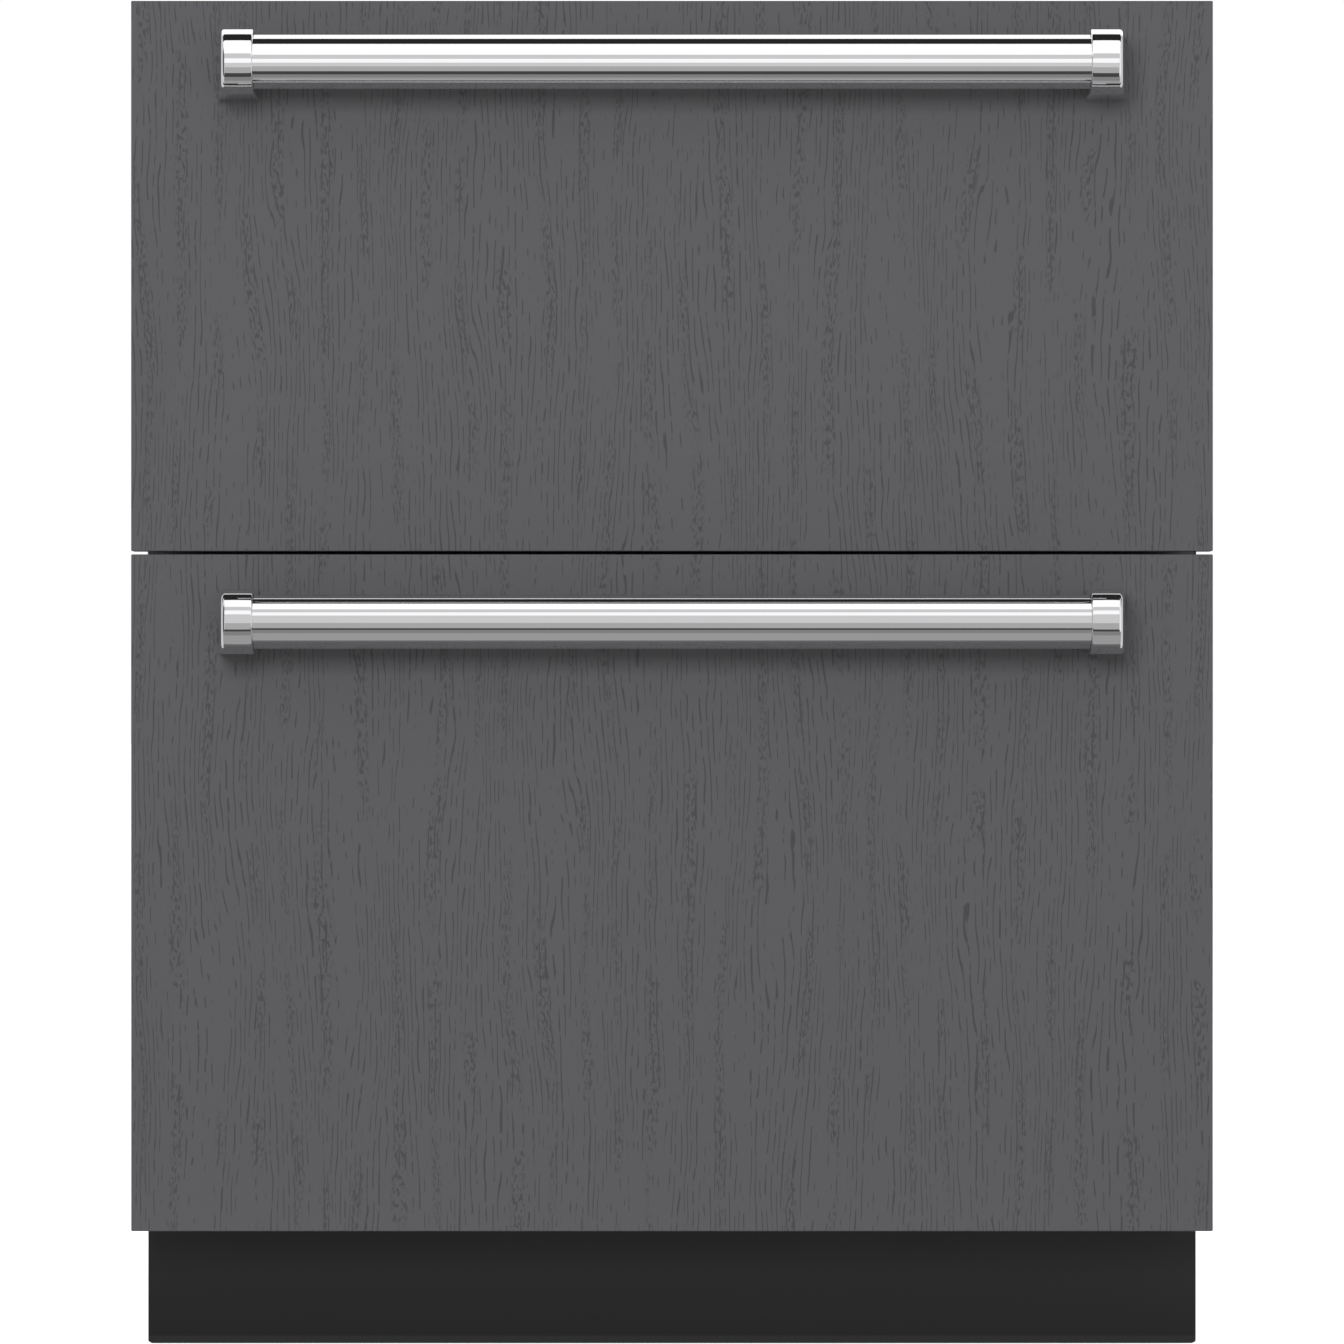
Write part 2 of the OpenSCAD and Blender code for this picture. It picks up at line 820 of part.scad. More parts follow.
module at_grommets() {
    x_in = plate_x - grommet_edge;
    y_in = plate_y - grommet_edge;
    for (x = [-x_in, x_in], y = [-y_in, y_in])
        translate([x, y, 0]) children();
}

module compressor() {
    r = compressor_d / 2;
    body_r = r * 0.94; // above and below the weld flange
    shoulder = r * 0.45;
    weld_z = compressor_h * 0.4;
    weld_h = compressor_h * 0.05;
    base_r = r * 0.8;
    base_h = 10;
    box_w = 48;
    box_h = 44;
    box_d = 26;
    color("#151515")
        translate([compressor_x, machine_y, 0]) {
            translate([0, 0, z_compressor])
                rotate_extrude()
                    polygon(concat(
                        [[0, 0], [base_r, 0], [body_r, base_h], [body_r, weld_z], [r, weld_z],
                         [r, weld_z + weld_h], [body_r, weld_z + weld_h],
                         [body_r, compressor_h - shoulder]],
                        [for (a = [15 : 15 : 90])
                            [body_r - shoulder + shoulder * cos(a),
                             compressor_h - shoulder + shoulder * sin(a)]],
                        [[0, compressor_h]]
                    ));
            difference() {
                block([-plate_x, plate_x], [-plate_y, plate_y],
                      [z_compressor - foot_plate_t, z_compressor + eps]);
                at_grommets()
                    rod_z(grommet_hole_d, z_compressor - foot_plate_t - over,
                          z_compressor + over);
            }
            translate([r * 0.9, 0, z_compressor + compressor_h * 0.6])
                block([0, box_d], [-box_w / 2, box_w / 2], [-box_h / 2, box_h / 2]);
        }
    color("#151515") {
        translate([0, discharge_y, discharge_z])
            rod_x(stub_d, compressor_x + base_r, discharge_x);
        translate([suction_x, machine_y, 0])
            rod_z(stub_d, z_compressor + compressor_h * 0.8, suction_z);
    }
}

module compressor_grommets() {
    neck_top = z_compressor + 4;
    bore = 4;
    bore_floor = 2;
    color("#2f2f31")
        translate([compressor_x, machine_y, 0])
            at_grommets()
                difference() {
                    union() {
                        rod_z(grommet_d, z_base, z_base + grommet_h);
                        rod_z(grommet_hole_d - 2 * hole_gap, z_base, neck_top);
                    }
                    rod_z(bore, z_base + bore_floor, neck_top + over);
                }
}

// Parts on the base pan, between the kick plate and the machine compartment
module drain_pan() {
    x = [-190, 130];
    side_gap = 60;
    pan_h = 28;
    wall = 2;
    y = [y_toe + side_gap, y_machine - side_gap];
    color("#d9d9d6")
        difference() {
            block(x, y, [z_base, z_base + pan_h]);
            block([x[0] + wall, x[1] - wall], [y[0] + wall, y[1] - wall],
                  [z_base + wall, z_base + pan_h + over]);
        }
}

module electronics_box() {
    foot_gap = 8;
    x = [160, foot_x - foot_d / 2 - foot_gap];
    front = y_toe + 12;
    box_d = 118;
    box_h = 40;
    lid_edge = 8;
    lid_h = 4;
    color("#e4e2da") {
        block(x, [front, front + box_d], [z_base, z_base + box_h]);
        block([x[0] + lid_edge, x[1] - lid_edge],
              [front + lid_edge, front + box_d - lid_edge],
              [z_base + box_h - eps, z_base + box_h + lid_h]);
    }
}

// The discharge, liquid and suction lines, with the filter drier brazed in
module refrigerant_lines() {
    line_d = 6.4;
    drier_d = 18;
    drier_len = 80;
    drier_gap = 20;
    loop_drop = 14; // of the suction line, under the compartment's roof
    drop_x = discharge_x + 30;
    rise_x = drop_x + 60;
    coil_y = machine_y - coil_half_len - coil_stub;
    coil_x = cond_coil_x + cond_coil_w / 2;
    row = cond_coil_h / cond_rows;
    low = z_base + row / 2;
    high = z_base + row * (cond_rows - 0.5);
    run_y = y_machine + 12;
    roof = machine_top - fit_gap;
    color("#b87333") {
        pipe([[discharge_x, discharge_y, discharge_z], [drop_x, discharge_y, discharge_z],
              [drop_x, run_y, discharge_z], [drop_x, run_y, low], [coil_x, run_y, low],
              [coil_x, coil_y, low]], line_d);
        pipe([[coil_x, coil_y, high], [coil_x, run_y, high], [rise_x, run_y, high],
              [rise_x, run_y, roof]], line_d);
        translate([0, run_y, high])
            rod_x(drier_d, rise_x + drier_gap, rise_x + drier_gap + drier_len);
        pipe([[suction_x, machine_y, suction_z],
              [suction_x, machine_y, machine_top - loop_drop],
              [suction_x, run_y, machine_top - loop_drop],
              [suction_x, run_y, roof]], line_d);
    }
}

// ---------- telescopic slides ----------

channel_t = 1.5;
middle_t = 1.2;
slide_inset = 2; // from the drawer's wall to the two outer members' open sides

// Channel profiles in (x, z) for the slide at the right, measured from the cavity wall
module cabinet_rail() {
    channel(cavity_hw, box_hw + slide_inset, slide_h / 2, channel_t);
}

module middle_rail() {
    x = cavity_hw - channel_t - run_gap;
    channel(x, box_hw + slide_inset, slide_h / 2 - channel_t - run_gap, middle_t);
}

module drawer_rail() {
    channel(box_hw, cavity_hw - channel_t - middle_t - 2 * run_gap,
            slide_h / 2 - channel_t - middle_t - 2 * run_gap, middle_t);
}

// A pair of rails at one level
module rail_pair(z) {
    both_sides() translate([0, 0, z]) along_y(y_slide, y_slide_end) children();
}

// ---------- drawer fronts ----------

module handle_screw_places(z) {
    for (x = [-screw_x, screw_x], dz = [-screw_pitch / 2, screw_pitch / 2])
        translate([x, 0, z + dz]) children();
}

module overlay_panel(z0, h) {
    head_gap = 1;
    color("#5d5d5f")
        difference() {
            block([-panel_w / 2, panel_w / 2], [y_panel, y_front], [z0, z0 + h]);
            handle_screw_places(z0 + h - handle_drop) {
                rod_y(screw_d + 2 * hole_gap, y_panel - over, y_front + over);
                rod_y(screw_head_d + 2 * head_gap, y_head, y_front + over);
            }
        }
}

// The steel tray that faces each drawer, open towards the back
module front_shell(z0, z1) {
    color("#2c2d2f")
        difference() {
            block([-front_hw, front_hw], [y_front, y_gasket - inner_plate_t], [z0, z1]);
            block([-front_hw + sheet_t, front_hw - sheet_t],
                  [y_front + sheet_t, y_gasket], [z0 + sheet_t, z1 - sheet_t]);
        }
}

module front_foam(z0, z1) {
    color("khaki")
        block([-front_hw + sheet_t, front_hw - sheet_t],
              [y_front + sheet_t, y_gasket - inner_plate_t], [z0 + sheet_t, z1 - sheet_t]);
}

// The moulded plate on the back of a drawer front, with a raised field between the walls
module front_liner(z0, z1, box_z0, box_z1) {
    field = 8;
    side_gap = 1;
    top_gap = 6;
    color("whitesmoke") {
        block([-front_hw, front_hw], [y_gasket - inner_plate_t, y_gasket], [z0, z1]);
        block([-box_in_hw + side_gap, box_in_hw - side_gap], [y_gasket - eps, y_gasket + field],
              [box_z0 + wall_t + side_gap, box_z1 - top_gap]);
    }
}

// A ring between the drawer front and the frame
module gasket(z0, z1) {
    edge = 6;
    w = front_hw - edge;
    color("#3b3b3d")
        difference() {
            block([-w, w], [y_gasket, y_case - seal_gap], [z0, z1]);
            block([-w + gasket_w, w - gasket_w], [y_gasket - over, y_case],
                  [z0 + gasket_w, z1 - gasket_w]);
        }
}

// ---------- handles ----------

module handle_bar(z) {
    end_gap = 1; // in the bottom of each post's socket
    half = post_x + socket_depth - end_gap;
    color("gainsboro")
        translate([0, y_grip, z])
            difference() {
                rod_x(handle_d, -half, half);
                rod_x(handle_d - 2 * handle_wall, -half - over, half + over);
            }
}

// Posts with a round front, a flat inner side and an outer side that widens to the panel
module handle_posts(z) {
    color("gainsboro")
        both_sides()
            difference() {
                intersection() {
                    translate([0, 0, z])
                        union() {
                            translate([0, y_grip, 0]) rod_x(post_h, post_x, post_x + post_foot_w);
                            block([post_x, post_x + post_foot_w], [y_grip, y_panel],
                                  [-post_r, post_r]);
                        }
                    translate([0, 0, z - post_h])
                        linear_extrude(2 * post_h)
                            polygon([
                                [post_x, y_panel], [post_x + post_foot_w, y_panel],
                                [post_x + post_front_w, y_handle], [post_x, y_handle]
                            ]);
                }
                translate([0, y_grip, z])
                    rod_x(handle_d + 2 * fit_gap, post_x - over, post_x + socket_depth);
                for (dz = [-screw_pitch / 2, screw_pitch / 2])
                    translate([screw_x, 0, z + dz])
                        rod_y(screw_d + 2 * fit_gap, y_panel - screw_bite - over, y_panel + over);
            }
}

module handle_screws(z) {
    color("silver")
        handle_screw_places(z) {
            rod_y(screw_d, y_panel - screw_bite, y_head + over);
            rod_y(screw_head_d, y_head, y_head + screw_head_t);
        }
}

// ---------- drawer boxes ----------

module upper_drawer_walls() {
    color("lightgray") {
        both_sides()
            block([box_in_hw, box_hw], [y_drawer, y_box_end], [upper_box, upper_box_top]);
        block([-box_in_hw, box_in_hw], [y_box_end - wall_t, y_box_end],
              [upper_box, upper_box_top]);
    }
}

module upper_drawer_floor() {
    color("whitesmoke")
        block([-box_in_hw, box_in_hw], [y_drawer, y_box_end - wall_t],
              [upper_box, upper_box + wall_t]);
}

// The lower box is deep in front and steps up over the machine compartment
module lower_drawer_walls() {
    color("lightgray") {
        both_sides()
            along_x(box_in_hw, box_hw)
                polygon([
                    [y_drawer, lower_box], [y_box_step, lower_box],
                    [y_box_step, z_box_step], [y_box_end, z_box_step],
                    [y_box_end, lower_box_top], [y_drawer, lower_box_top]
                ]);
        block([-box_in_hw, box_in_hw], [y_box_end - wall_t, y_box_end],
              [z_box_step, lower_box_top]);
        block([-box_in_hw, box_in_hw], [y_box_step - wall_t, y_box_step],
              [lower_box, z_box_step]);
    }
}

module lower_drawer_floor() {
    color("whitesmoke") {
        block([-box_in_hw, box_in_hw], [y_drawer, y_box_step - wall_t],
              [lower_box, lower_box + wall_t]);
        block([-box_in_hw, box_in_hw], [y_box_step - wall_t, y_box_end - wall_t],
              [z_box_step, z_box_step + wall_t]);
    }
}

// A clear plate that hooks over the upper box's walls and slides along them
module upper_divider() {
    plate_t = 4;
    hook_t = 2.4;
    hook_h = 10;
    hook_len = 20;
    bottom = upper_box + wall_t + run_gap;
    lip = upper_box_top + run_gap;
    edge = box_in_hw - run_gap;
    scoop = 55;
    scoop_h = 34;
    top = lip + 4;
    outer = box_hw + run_gap;
    color("lightblue", 0.5) {
        along_y(-plate_t / 2, plate_t / 2)
            polygon([
                [-edge, bottom], [edge, bottom], [edge, top], [edge - scoop, top],
                [edge - scoop - scoop_h, lip - scoop_h], [scoop_h + scoop - edge, lip - scoop_h],
                [scoop - edge, top], [-edge, top]
            ]);
        both_sides() {
            block([edge - eps, outer + hook_t], [-hook_len / 2, hook_len / 2], [lip, top]);
            block([outer, outer + hook_t], [-hook_len / 2, hook_len / 2],
                  [lip - hook_h, lip + eps]);
        }
    }
}

// ---------- levels of the two drawers ----------

lower_front = panel_lift + front_margin;
lower_front_top = z_lower_top - front_margin;
upper_front = z_upper + front_margin;
upper_front_drop = 2; // of the upper drawer front, under the case's top
upper_front_top = z_case_top - upper_front_drop;
seal_edge = 2; // from a gasket to its drawer front's edge, next to the other drawer
seal_top_edge = 6;
seal_bottom_edge = 8;
upper_seal = upper_front + seal_edge;
upper_seal_top = upper_front_top - seal_top_edge;
lower_seal = lower_front + seal_bottom_edge;
lower_seal_top = lower_front_top - seal_edge;
upper_grip_z = z_top - handle_drop;
lower_grip_z = z_lower_top - handle_drop;

side_panel_left();
side_panel_right();
top_panel();
back_panel();
base_pan();
machine_bulkhead();
front_frame();
inner_liner();
insulation();
kickplate();
rear_cover();
rear_cover_screws();
counter_brackets();
control_panel();
light_bars();
evaporator_coil();
evaporator_cover();
evaporator_fan_motor();
evaporator_fan_blade();
compressor();
compressor_grommets();
condenser_coil();
condenser_fan_shroud();
condenser_fan_motor();
condenser_fan_blade();
drain_pan();
refrigerant_lines();
electronics_box();
cord_gland();
color("silver") rail_pair(upper_slide_z) cabinet_rail();  // upper_cabinet_rails
color("silver") rail_pair(lower_slide_z) cabinet_rail();  // lower_cabinet_rails
foot(-foot_x, foot_front_y);  // foot_front_left
foot(foot_x, foot_front_y);  // foot_front_right
foot(-foot_x, foot_back_y);  // foot_back_left
foot(foot_x, foot_back_y);  // foot_back_right
overlay_panel(z_upper, upper_panel_h);  // upper_overlay_panel
front_shell(upper_front, upper_front_top);  // upper_front_shell
front_foam(upper_front, upper_front_top);  // upper_front_foam
front_liner(upper_front, upper_front_top, upper_box, upper_box_top);  // upper_front_liner
gasket(upper_seal, upper_seal_top);  // upper_gasket
handle_bar(upper_grip_z);  // upper_handle_bar
handle_posts(upper_grip_z);  // upper_handle_posts
handle_screws(upper_grip_z);  // upper_handle_screws
upper_drawer_walls();
upper_drawer_floor();
color("silver") rail_pair(upper_slide_z) drawer_rail();  // upper_drawer_rails
color("silver") rail_pair(upper_slide_z) middle_rail();  // upper_middle_rails
upper_divider();
overlay_panel(panel_lift, lower_panel_h);  // lower_overlay_panel
front_shell(lower_front, lower_front_top);  // lower_front_shell
front_foam(lower_front, lower_front_top);  // lower_front_foam
front_liner(lower_front, lower_front_top, lower_box, lower_box_top);  // lower_front_liner
gasket(lower_seal, lower_seal_top);  // lower_gasket
handle_bar(lower_grip_z);  // lower_handle_bar
handle_posts(lower_grip_z);  // lower_handle_posts
handle_screws(lower_grip_z);  // lower_handle_screws
lower_drawer_walls();
lower_drawer_floor();
color("silver") rail_pair(lower_slide_z) drawer_rail();  // lower_drawer_rails
color("silver") rail_pair(lower_slide_z) middle_rail();  // lower_middle_rails
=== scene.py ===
# %% [markdown]
# # An undercounter refrigerator with two wood-fronted drawers
#
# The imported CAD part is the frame: every solid already stands in its place, in metres, with
# the floor at z = 0 and the drawers opening towards -Y. This script gives that frame its looks.
# It could be remodelled from nothing, but then its sizes would drift from the real ones, so
# each piece here takes its place from the solid that it stands for.

# %% Load the frame
import json
import math

import bmesh
import bpy
from mathutils import Matrix, Vector

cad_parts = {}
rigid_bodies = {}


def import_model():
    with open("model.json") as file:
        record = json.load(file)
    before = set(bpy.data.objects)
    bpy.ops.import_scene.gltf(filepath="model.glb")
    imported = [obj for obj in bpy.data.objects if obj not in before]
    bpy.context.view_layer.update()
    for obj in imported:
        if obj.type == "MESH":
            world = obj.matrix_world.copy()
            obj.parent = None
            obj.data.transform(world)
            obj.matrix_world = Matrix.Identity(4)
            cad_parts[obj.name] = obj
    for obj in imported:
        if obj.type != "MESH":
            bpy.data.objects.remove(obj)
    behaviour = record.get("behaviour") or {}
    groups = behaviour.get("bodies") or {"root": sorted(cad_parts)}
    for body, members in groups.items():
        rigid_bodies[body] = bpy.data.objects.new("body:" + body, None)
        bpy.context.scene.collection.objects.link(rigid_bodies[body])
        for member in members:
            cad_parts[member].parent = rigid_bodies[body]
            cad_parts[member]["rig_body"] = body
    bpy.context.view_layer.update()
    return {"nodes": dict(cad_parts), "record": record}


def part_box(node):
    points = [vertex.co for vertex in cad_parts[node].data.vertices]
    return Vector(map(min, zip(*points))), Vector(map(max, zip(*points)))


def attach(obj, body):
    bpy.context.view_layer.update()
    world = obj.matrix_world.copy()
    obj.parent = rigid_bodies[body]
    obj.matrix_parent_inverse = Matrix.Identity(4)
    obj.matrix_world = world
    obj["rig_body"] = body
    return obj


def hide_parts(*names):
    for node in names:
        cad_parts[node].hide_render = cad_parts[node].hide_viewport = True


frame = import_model()
nodes = frame["nodes"]
slot_of = {row["node"]: row["material_slot"] for row in frame["record"]["subparts"]}
body_of = {name: obj["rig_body"] for name, obj in nodes.items()}
scene = bpy.context.scene
MM = 0.001

# %% [markdown]
# ## The camera
#
# A product photograph like this one is taken square on and from far away, so that the front
# looks almost flat. The small differences between near and far edges give the distance: about
# 3.6 metres from the handles, at half the appliance's height, with a long lens. A shifted lens
# could show the same, but a level camera needs no shift, and stays right in every other view.

# %% Set up the camera
EYE = (0.0, -3.874, 0.4336)
LENS, SENSOR = 152.53, 36.0
camera_data = bpy.data.cameras.new("camera")
camera_data.lens = LENS
camera_data.sensor_width = SENSOR
camera_data.sensor_fit = "HORIZONTAL"
camera_data.clip_end = 100.0
camera = bpy.data.objects.new("camera", camera_data)
camera.location = EYE
camera.rotation_euler = (math.radians(90), 0.0, 0.0)
scene.collection.objects.link(camera)
scene.camera = camera
scene.view_settings.view_transform = "Standard"
print("field of view", round(math.degrees(camera_data.angle), 2), "degrees")

# %% [markdown]
# ## Nodes as sums
#
# A shader is a sum of many small steps. Wired by hand it is a page of links, so one small class
# wraps a socket and lets Python's own operators add the Math nodes. One more class adds any
# other node: it takes the node's type, its settings and the values of its sockets.

# %% The class for a value, and the class for a tree of nodes
class Value:
    """A socket that sums can be done with."""

    def __init__(self, nodes, socket):
        self.nodes = nodes
        self.socket = socket

    def math(self, operation, *values):
        return self.nodes.add("Math", {"operation": operation}, dict(enumerate(values)))

    def __add__(self, other):
        return self.math("ADD", self, other)

    __radd__ = __add__

    def __sub__(self, other):
        return self.math("SUBTRACT", self, other)

    def __rsub__(self, other):
        return self.math("SUBTRACT", other, self)

    def __mul__(self, other):
        return self.math("MULTIPLY", self, other)

    __rmul__ = __mul__

    def __truediv__(self, other):
        return self.math("DIVIDE", self, other)

    def fraction(self):
        return self.math("FRACT", self)

    def distance(self, other):
        return self.math("ABSOLUTE", self - other)

    def highest(self, other):
        return self.math("MAXIMUM", self, other)

    def wave(self):
        return self.math("SINE", self)


class Nodes:
    """The node tree of a material or of the world."""

    def __init__(self, owner):
        owner.use_nodes = True
        self.tree = owner.node_tree
        self.tree.nodes.clear()

    def add(self, kind, settings=None, sockets=None, out=0):
        node = self.tree.nodes.new("ShaderNode" + kind)
        for name, setting in (settings or {}).items():
            setattr(node, name, setting)
        for name, value in (sockets or {}).items():
            if isinstance(value, Value):
                self.tree.links.new(value.socket, node.inputs[name])
            else:
                node.inputs[name].default_value = value
        if isinstance(out, tuple):
            return [Value(self, node.outputs[name]) for name in out]
        return Value(self, node.outputs[out]) if len(node.outputs) else None

    def place(self):
        return self.add("TexCoord", out="Object")

    def cloud(self, size, stretch=(1, 1, 1), shift=0.0, detail=2.0, place=None):
        """Noise whose marks are about size wide, in metres, and longer along a stretched axis."""
        scaled = [1 / (size * s) for s in stretch]
        where = self.add("Mapping", {}, {"Vector": place or self.place(),
                                         "Location": (shift, shift, shift), "Scale": scaled})
        return self.add("TexNoise", {}, {"Vector": where, "Scale": 1.0, "Detail": detail})

    def above(self, value, edge, width):
        """0 where the value is under the edge and 1 over it, with a soft step between."""
        return self.add("MapRange", {"interpolation_type": "SMOOTHSTEP"},
                        {"Value": value, "From Min": edge - width, "From Max": edge + width})

    def blend(self, factor, first, second):
        return self.add("Mix", {"data_type": "RGBA"}, {0: factor, 6: first, 7: second}, out=2)

    def surface(self, sockets, height=None, relief=0.0):
        """Ends a material: one Principled shader, with the relief of its surface in metres."""
        if height is not None:
            sockets["Normal"] = self.add("Bump", {}, {"Height": height, "Distance": relief})
        shader = self.add("BsdfPrincipled", {}, sockets)
        self.add("OutputMaterial", {}, {"Surface": shader})


def grey(value, blue=1.0):
    """A neutral colour, slightly blue where blue is over 1."""
    return (value, value, value * blue, 1.0)


finishes = {}


def finish(slot):
    """A new material for one of the record's slots, as an empty tree of nodes."""
    finishes[slot] = bpy.data.materials.new(slot)
    return Nodes(finishes[slot])


print("shader helpers ready")

# %% [markdown]
# ## Stained oak
#
# The overlay panels are veneered with oak that is stained dark grey, with its grain upright.
# A photograph of wood is the usual way to show it, but a made pattern has no edge and no seam.
# Oak's pores are short dark dashes that stand in rows, and the rows wander a little as the tree's
# years do. Here and there the pores of a year crowd into a ragged streak, and between the streaks
# lie plain flames with hardly a pore. A lying face, such as a panel's top edge, has its grain
# along the edge, so the two directions change places there.
#
# First every point gets its two distances, across the grain and along it. The distance across
# then takes up the bends, large and small, so that all that follows bends with it.

# %% The grain's two directions and its bends
SWAY, FLUTTER, WANDER = 40 * MM, 3.5 * MM, 5 * MM  # how far the grain bends
oak = finish("stained_oak")
x, y, z = oak.add("SeparateXYZ", {}, {"Vector": oak.place()}, out=("X", "Y", "Z"))
normal = oak.add("NewGeometry", out="Normal")
face_up = oak.add("SeparateXYZ", {}, {"Vector": normal}, out="Z").distance(0.0)
lying = oak.above(face_up, 0.7, 0.02)
across = (x + y) * (1 - lying) + y * lying
along = z * (1 - lying) + x * lying
flat = oak.add("CombineXYZ", {}, {"X": across, "Z": along})
sway = oak.cloud(70 * MM, (1, 1, 4), 1.0, 1.0, flat)
flutter = oak.cloud(16 * MM, (1, 1, 2.5), 2.0, 1.0, flat)
wander = oak.cloud(7 * MM, (1, 1, 7), 4.0, 1.0, flat)
bent = across + sway * SWAY + flutter * FLUTTER
row_line = bent + wander * WANDER
print("the grain sways by up to", SWAY, "m")

# %% [markdown]
# A pore is a dash from a cloud that is drawn out along the grain, kept only where it lies in a
# row. A year's streak has its own smaller dashes, which keep to no row.

# %% The oak's rows, streaks and plain flames
ROW = 3.4 * MM  # from one row of pores to the next
PORE_HALF, PORE_SOFT = 0.33 * MM, 0.16 * MM
PORE = (ROW * 0.7, 13 * MM)  # width and length
YEAR = 23 * MM
STREAK_PORE, STREAK, FLAME = (1.2 * MM, 4.5 * MM), (26 * MM, 80 * MM), (18 * MM, 150 * MM)


def dashes(width, length, seed):
    """A cloud drawn out along the bent grain."""
    spot = oak.add("CombineXYZ", {}, {"X": bent / width, "Y": seed, "Z": along / length})
    return oak.add("TexNoise", {}, {"Vector": spot, "Scale": 1.0, "Detail": 1.6})


off_row = (row_line / ROW).fraction().distance(0.5)
in_row = 1 - oak.above(off_row, PORE_HALF / ROW, PORE_SOFT / ROW)
calm = oak.above(dashes(*FLAME, 5.0), 0.54, 0.05)
early = 1 - oak.above((bent / YEAR).fraction().distance(0.5), 0.14, 0.06)
crowd = early * oak.above(dashes(*STREAK, 9.0), 0.50, 0.04)
rows = oak.above(dashes(*PORE, 3.0), calm * 0.14 + 0.46, 0.03) * in_row * 0.95
streaks = oak.above(dashes(*STREAK_PORE, 7.0), 0.55, 0.04) * crowd * 0.85
print("rows of pores every", ROW, "m and a year's streak every", YEAR, "m")

# %% [markdown]
# The stain lies darker in the pores, and the lacquer sinks a little there. The wood between
# them varies only slowly.

# %% The oak's colour and relief
STAIN_BLUE = 1.045
DARKER_WOOD, LIGHTER_WOOD, PORE_TONE = (grey(tone, STAIN_BLUE) for tone in (0.0945, 0.0975, 0.061))
PORE_DEPTH = 0.03 * MM
pore = rows.highest(streaks)
slow_tone = oak.cloud(50 * MM, (1, 1, 8), 7.0, 2.0, flat)
plain = oak.blend(slow_tone, DARKER_WOOD, LIGHTER_WOOD)
oak.surface({"Base Color": oak.blend(pore, plain, PORE_TONE),
             "Roughness": 0.5 + pore * 0.15, "Specular IOR Level": 0.1},
            1 - pore, PORE_DEPTH)
print("oak: wood", DARKER_WOOD[0], "to", LIGHTER_WOOD[0], "and pores", PORE_TONE[0])

# %% [markdown]
# ## Metals
#
# Polished steel is a mirror that only its surroundings give a look, with a faint haze. Brushed
# steel has fine lines in one direction, made of noise that is stretched along them. Galvanised
# sheet shows spangles, the crystals of its zinc, which are cells of a Voronoi texture.

# %% Polished steel
steel = finish("polished_steel")
haze = steel.cloud(8 * MM, (6, 1, 1))
steel.surface({"Base Color": steel.blend(haze, (0.87, 0.86, 0.875, 1), (0.9, 0.89, 0.905, 1)),
               "Metallic": 1.0, "Roughness": 0.02 + haze * 0.03})
print("polished steel: roughness 0.02 to 0.05")

# %% Brushed and rolled metals
def brushed(slot, colour, roughness, stretch, line=0.35 * MM, relief=0.01 * MM):
    """A metal with fine lines along its stretched axis, and slow patches of wear."""
    metal = finish(slot)
    lines = metal.cloud(line, stretch, 0.0, 3.0)
    wear = metal.cloud(0.06, detail=3.0)
    dark = tuple(c * 0.86 for c in colour[:3]) + (1.0,)
    metal.surface({"Base Color": metal.blend(lines * 0.6 + wear * 0.4, dark, colour),
                   "Metallic": 1.0, "Roughness": roughness - 0.08 + lines * 0.1 + wear * 0.08},
                  lines, relief)


brushed("slide_steel", (0.6, 0.61, 0.62, 1), 0.36, (1, 60, 1))
brushed("screw_steel", (0.55, 0.55, 0.56, 1), 0.34, (1, 6, 1))
brushed("drawer_aluminium", (0.62, 0.63, 0.64, 1), 0.42, (60, 60, 1))
brushed("fin_aluminium", (0.7, 0.71, 0.72, 1), 0.4, (1, 1, 30))
print("so far:", ", ".join(finishes))

# %% Galvanised sheet
SPANGLES = 130.0  # cells in a metre
zinc = finish("galvanised_steel")
spangle = zinc.add("TexVoronoi", {}, {"Vector": zinc.place(), "Scale": SPANGLES}, out="Color")
facet = zinc.add("SeparateColor", {}, {"Color": spangle}, out="Red")
bloom = zinc.cloud(0.09, detail=4.0)
zinc.surface({"Base Color": zinc.blend(facet * 0.7 + bloom * 0.3, grey(0.44, 1.02),
                                       grey(0.53, 1.02)),
              "Metallic": 1.0, "Roughness": 0.32 + facet * 0.1 + bloom * 0.1},
             facet, 0.01 * MM)
print("zinc spangles about", round(1 / SPANGLES / MM), "mm wide")

# %% Copper lines
copper = finish("copper")
tarnish = copper.above(copper.cloud(0.02, detail=4.0), 0.5, 0.16)
copper.surface({"Base Color": copper.blend(tarnish, (0.72, 0.36, 0.2, 1), (0.35, 0.16, 0.1, 1)),
                "Metallic": 1.0, "Roughness": 0.26 + tarnish * 0.24},
               copper.cloud(1.5 * MM), 0.02 * MM)
print("copper: bright where it is new, brown where it is tarnished")

# %% [markdown]
# ## Paint and plastic
#
# Powder paint has the texture of orange peel: low bumps a millimetre or two apart. Moulded
# plastic has a finer, sharper grain, from the etched steel of its mould. Both are the same
# recipe with other sizes, so one function makes them.

# %% Painted and moulded finishes
def coated(slot, colour, roughness, grain, relief, dust=0.04, **constants):
    """Paint or plastic: a grain this wide and this high, and a paler shade where dust lies."""
    coat = finish(slot)
    skin = coat.cloud(grain, detail=1.0)
    stain = coat.cloud(0.07, detail=4.0)
    worn = tuple(min(1.0, c * (1 + dust) + dust * 0.02) for c in colour[:3]) + (1.0,)
    sockets = {"Base Color": coat.blend(stain * 0.7 + skin * 0.3, colour, worn),
               "Roughness": roughness - 0.04 + stain * 0.08}
    sockets.update({name.replace("_", " "): value for name, value in constants.items()})
    coat.surface(sockets, skin, relief)


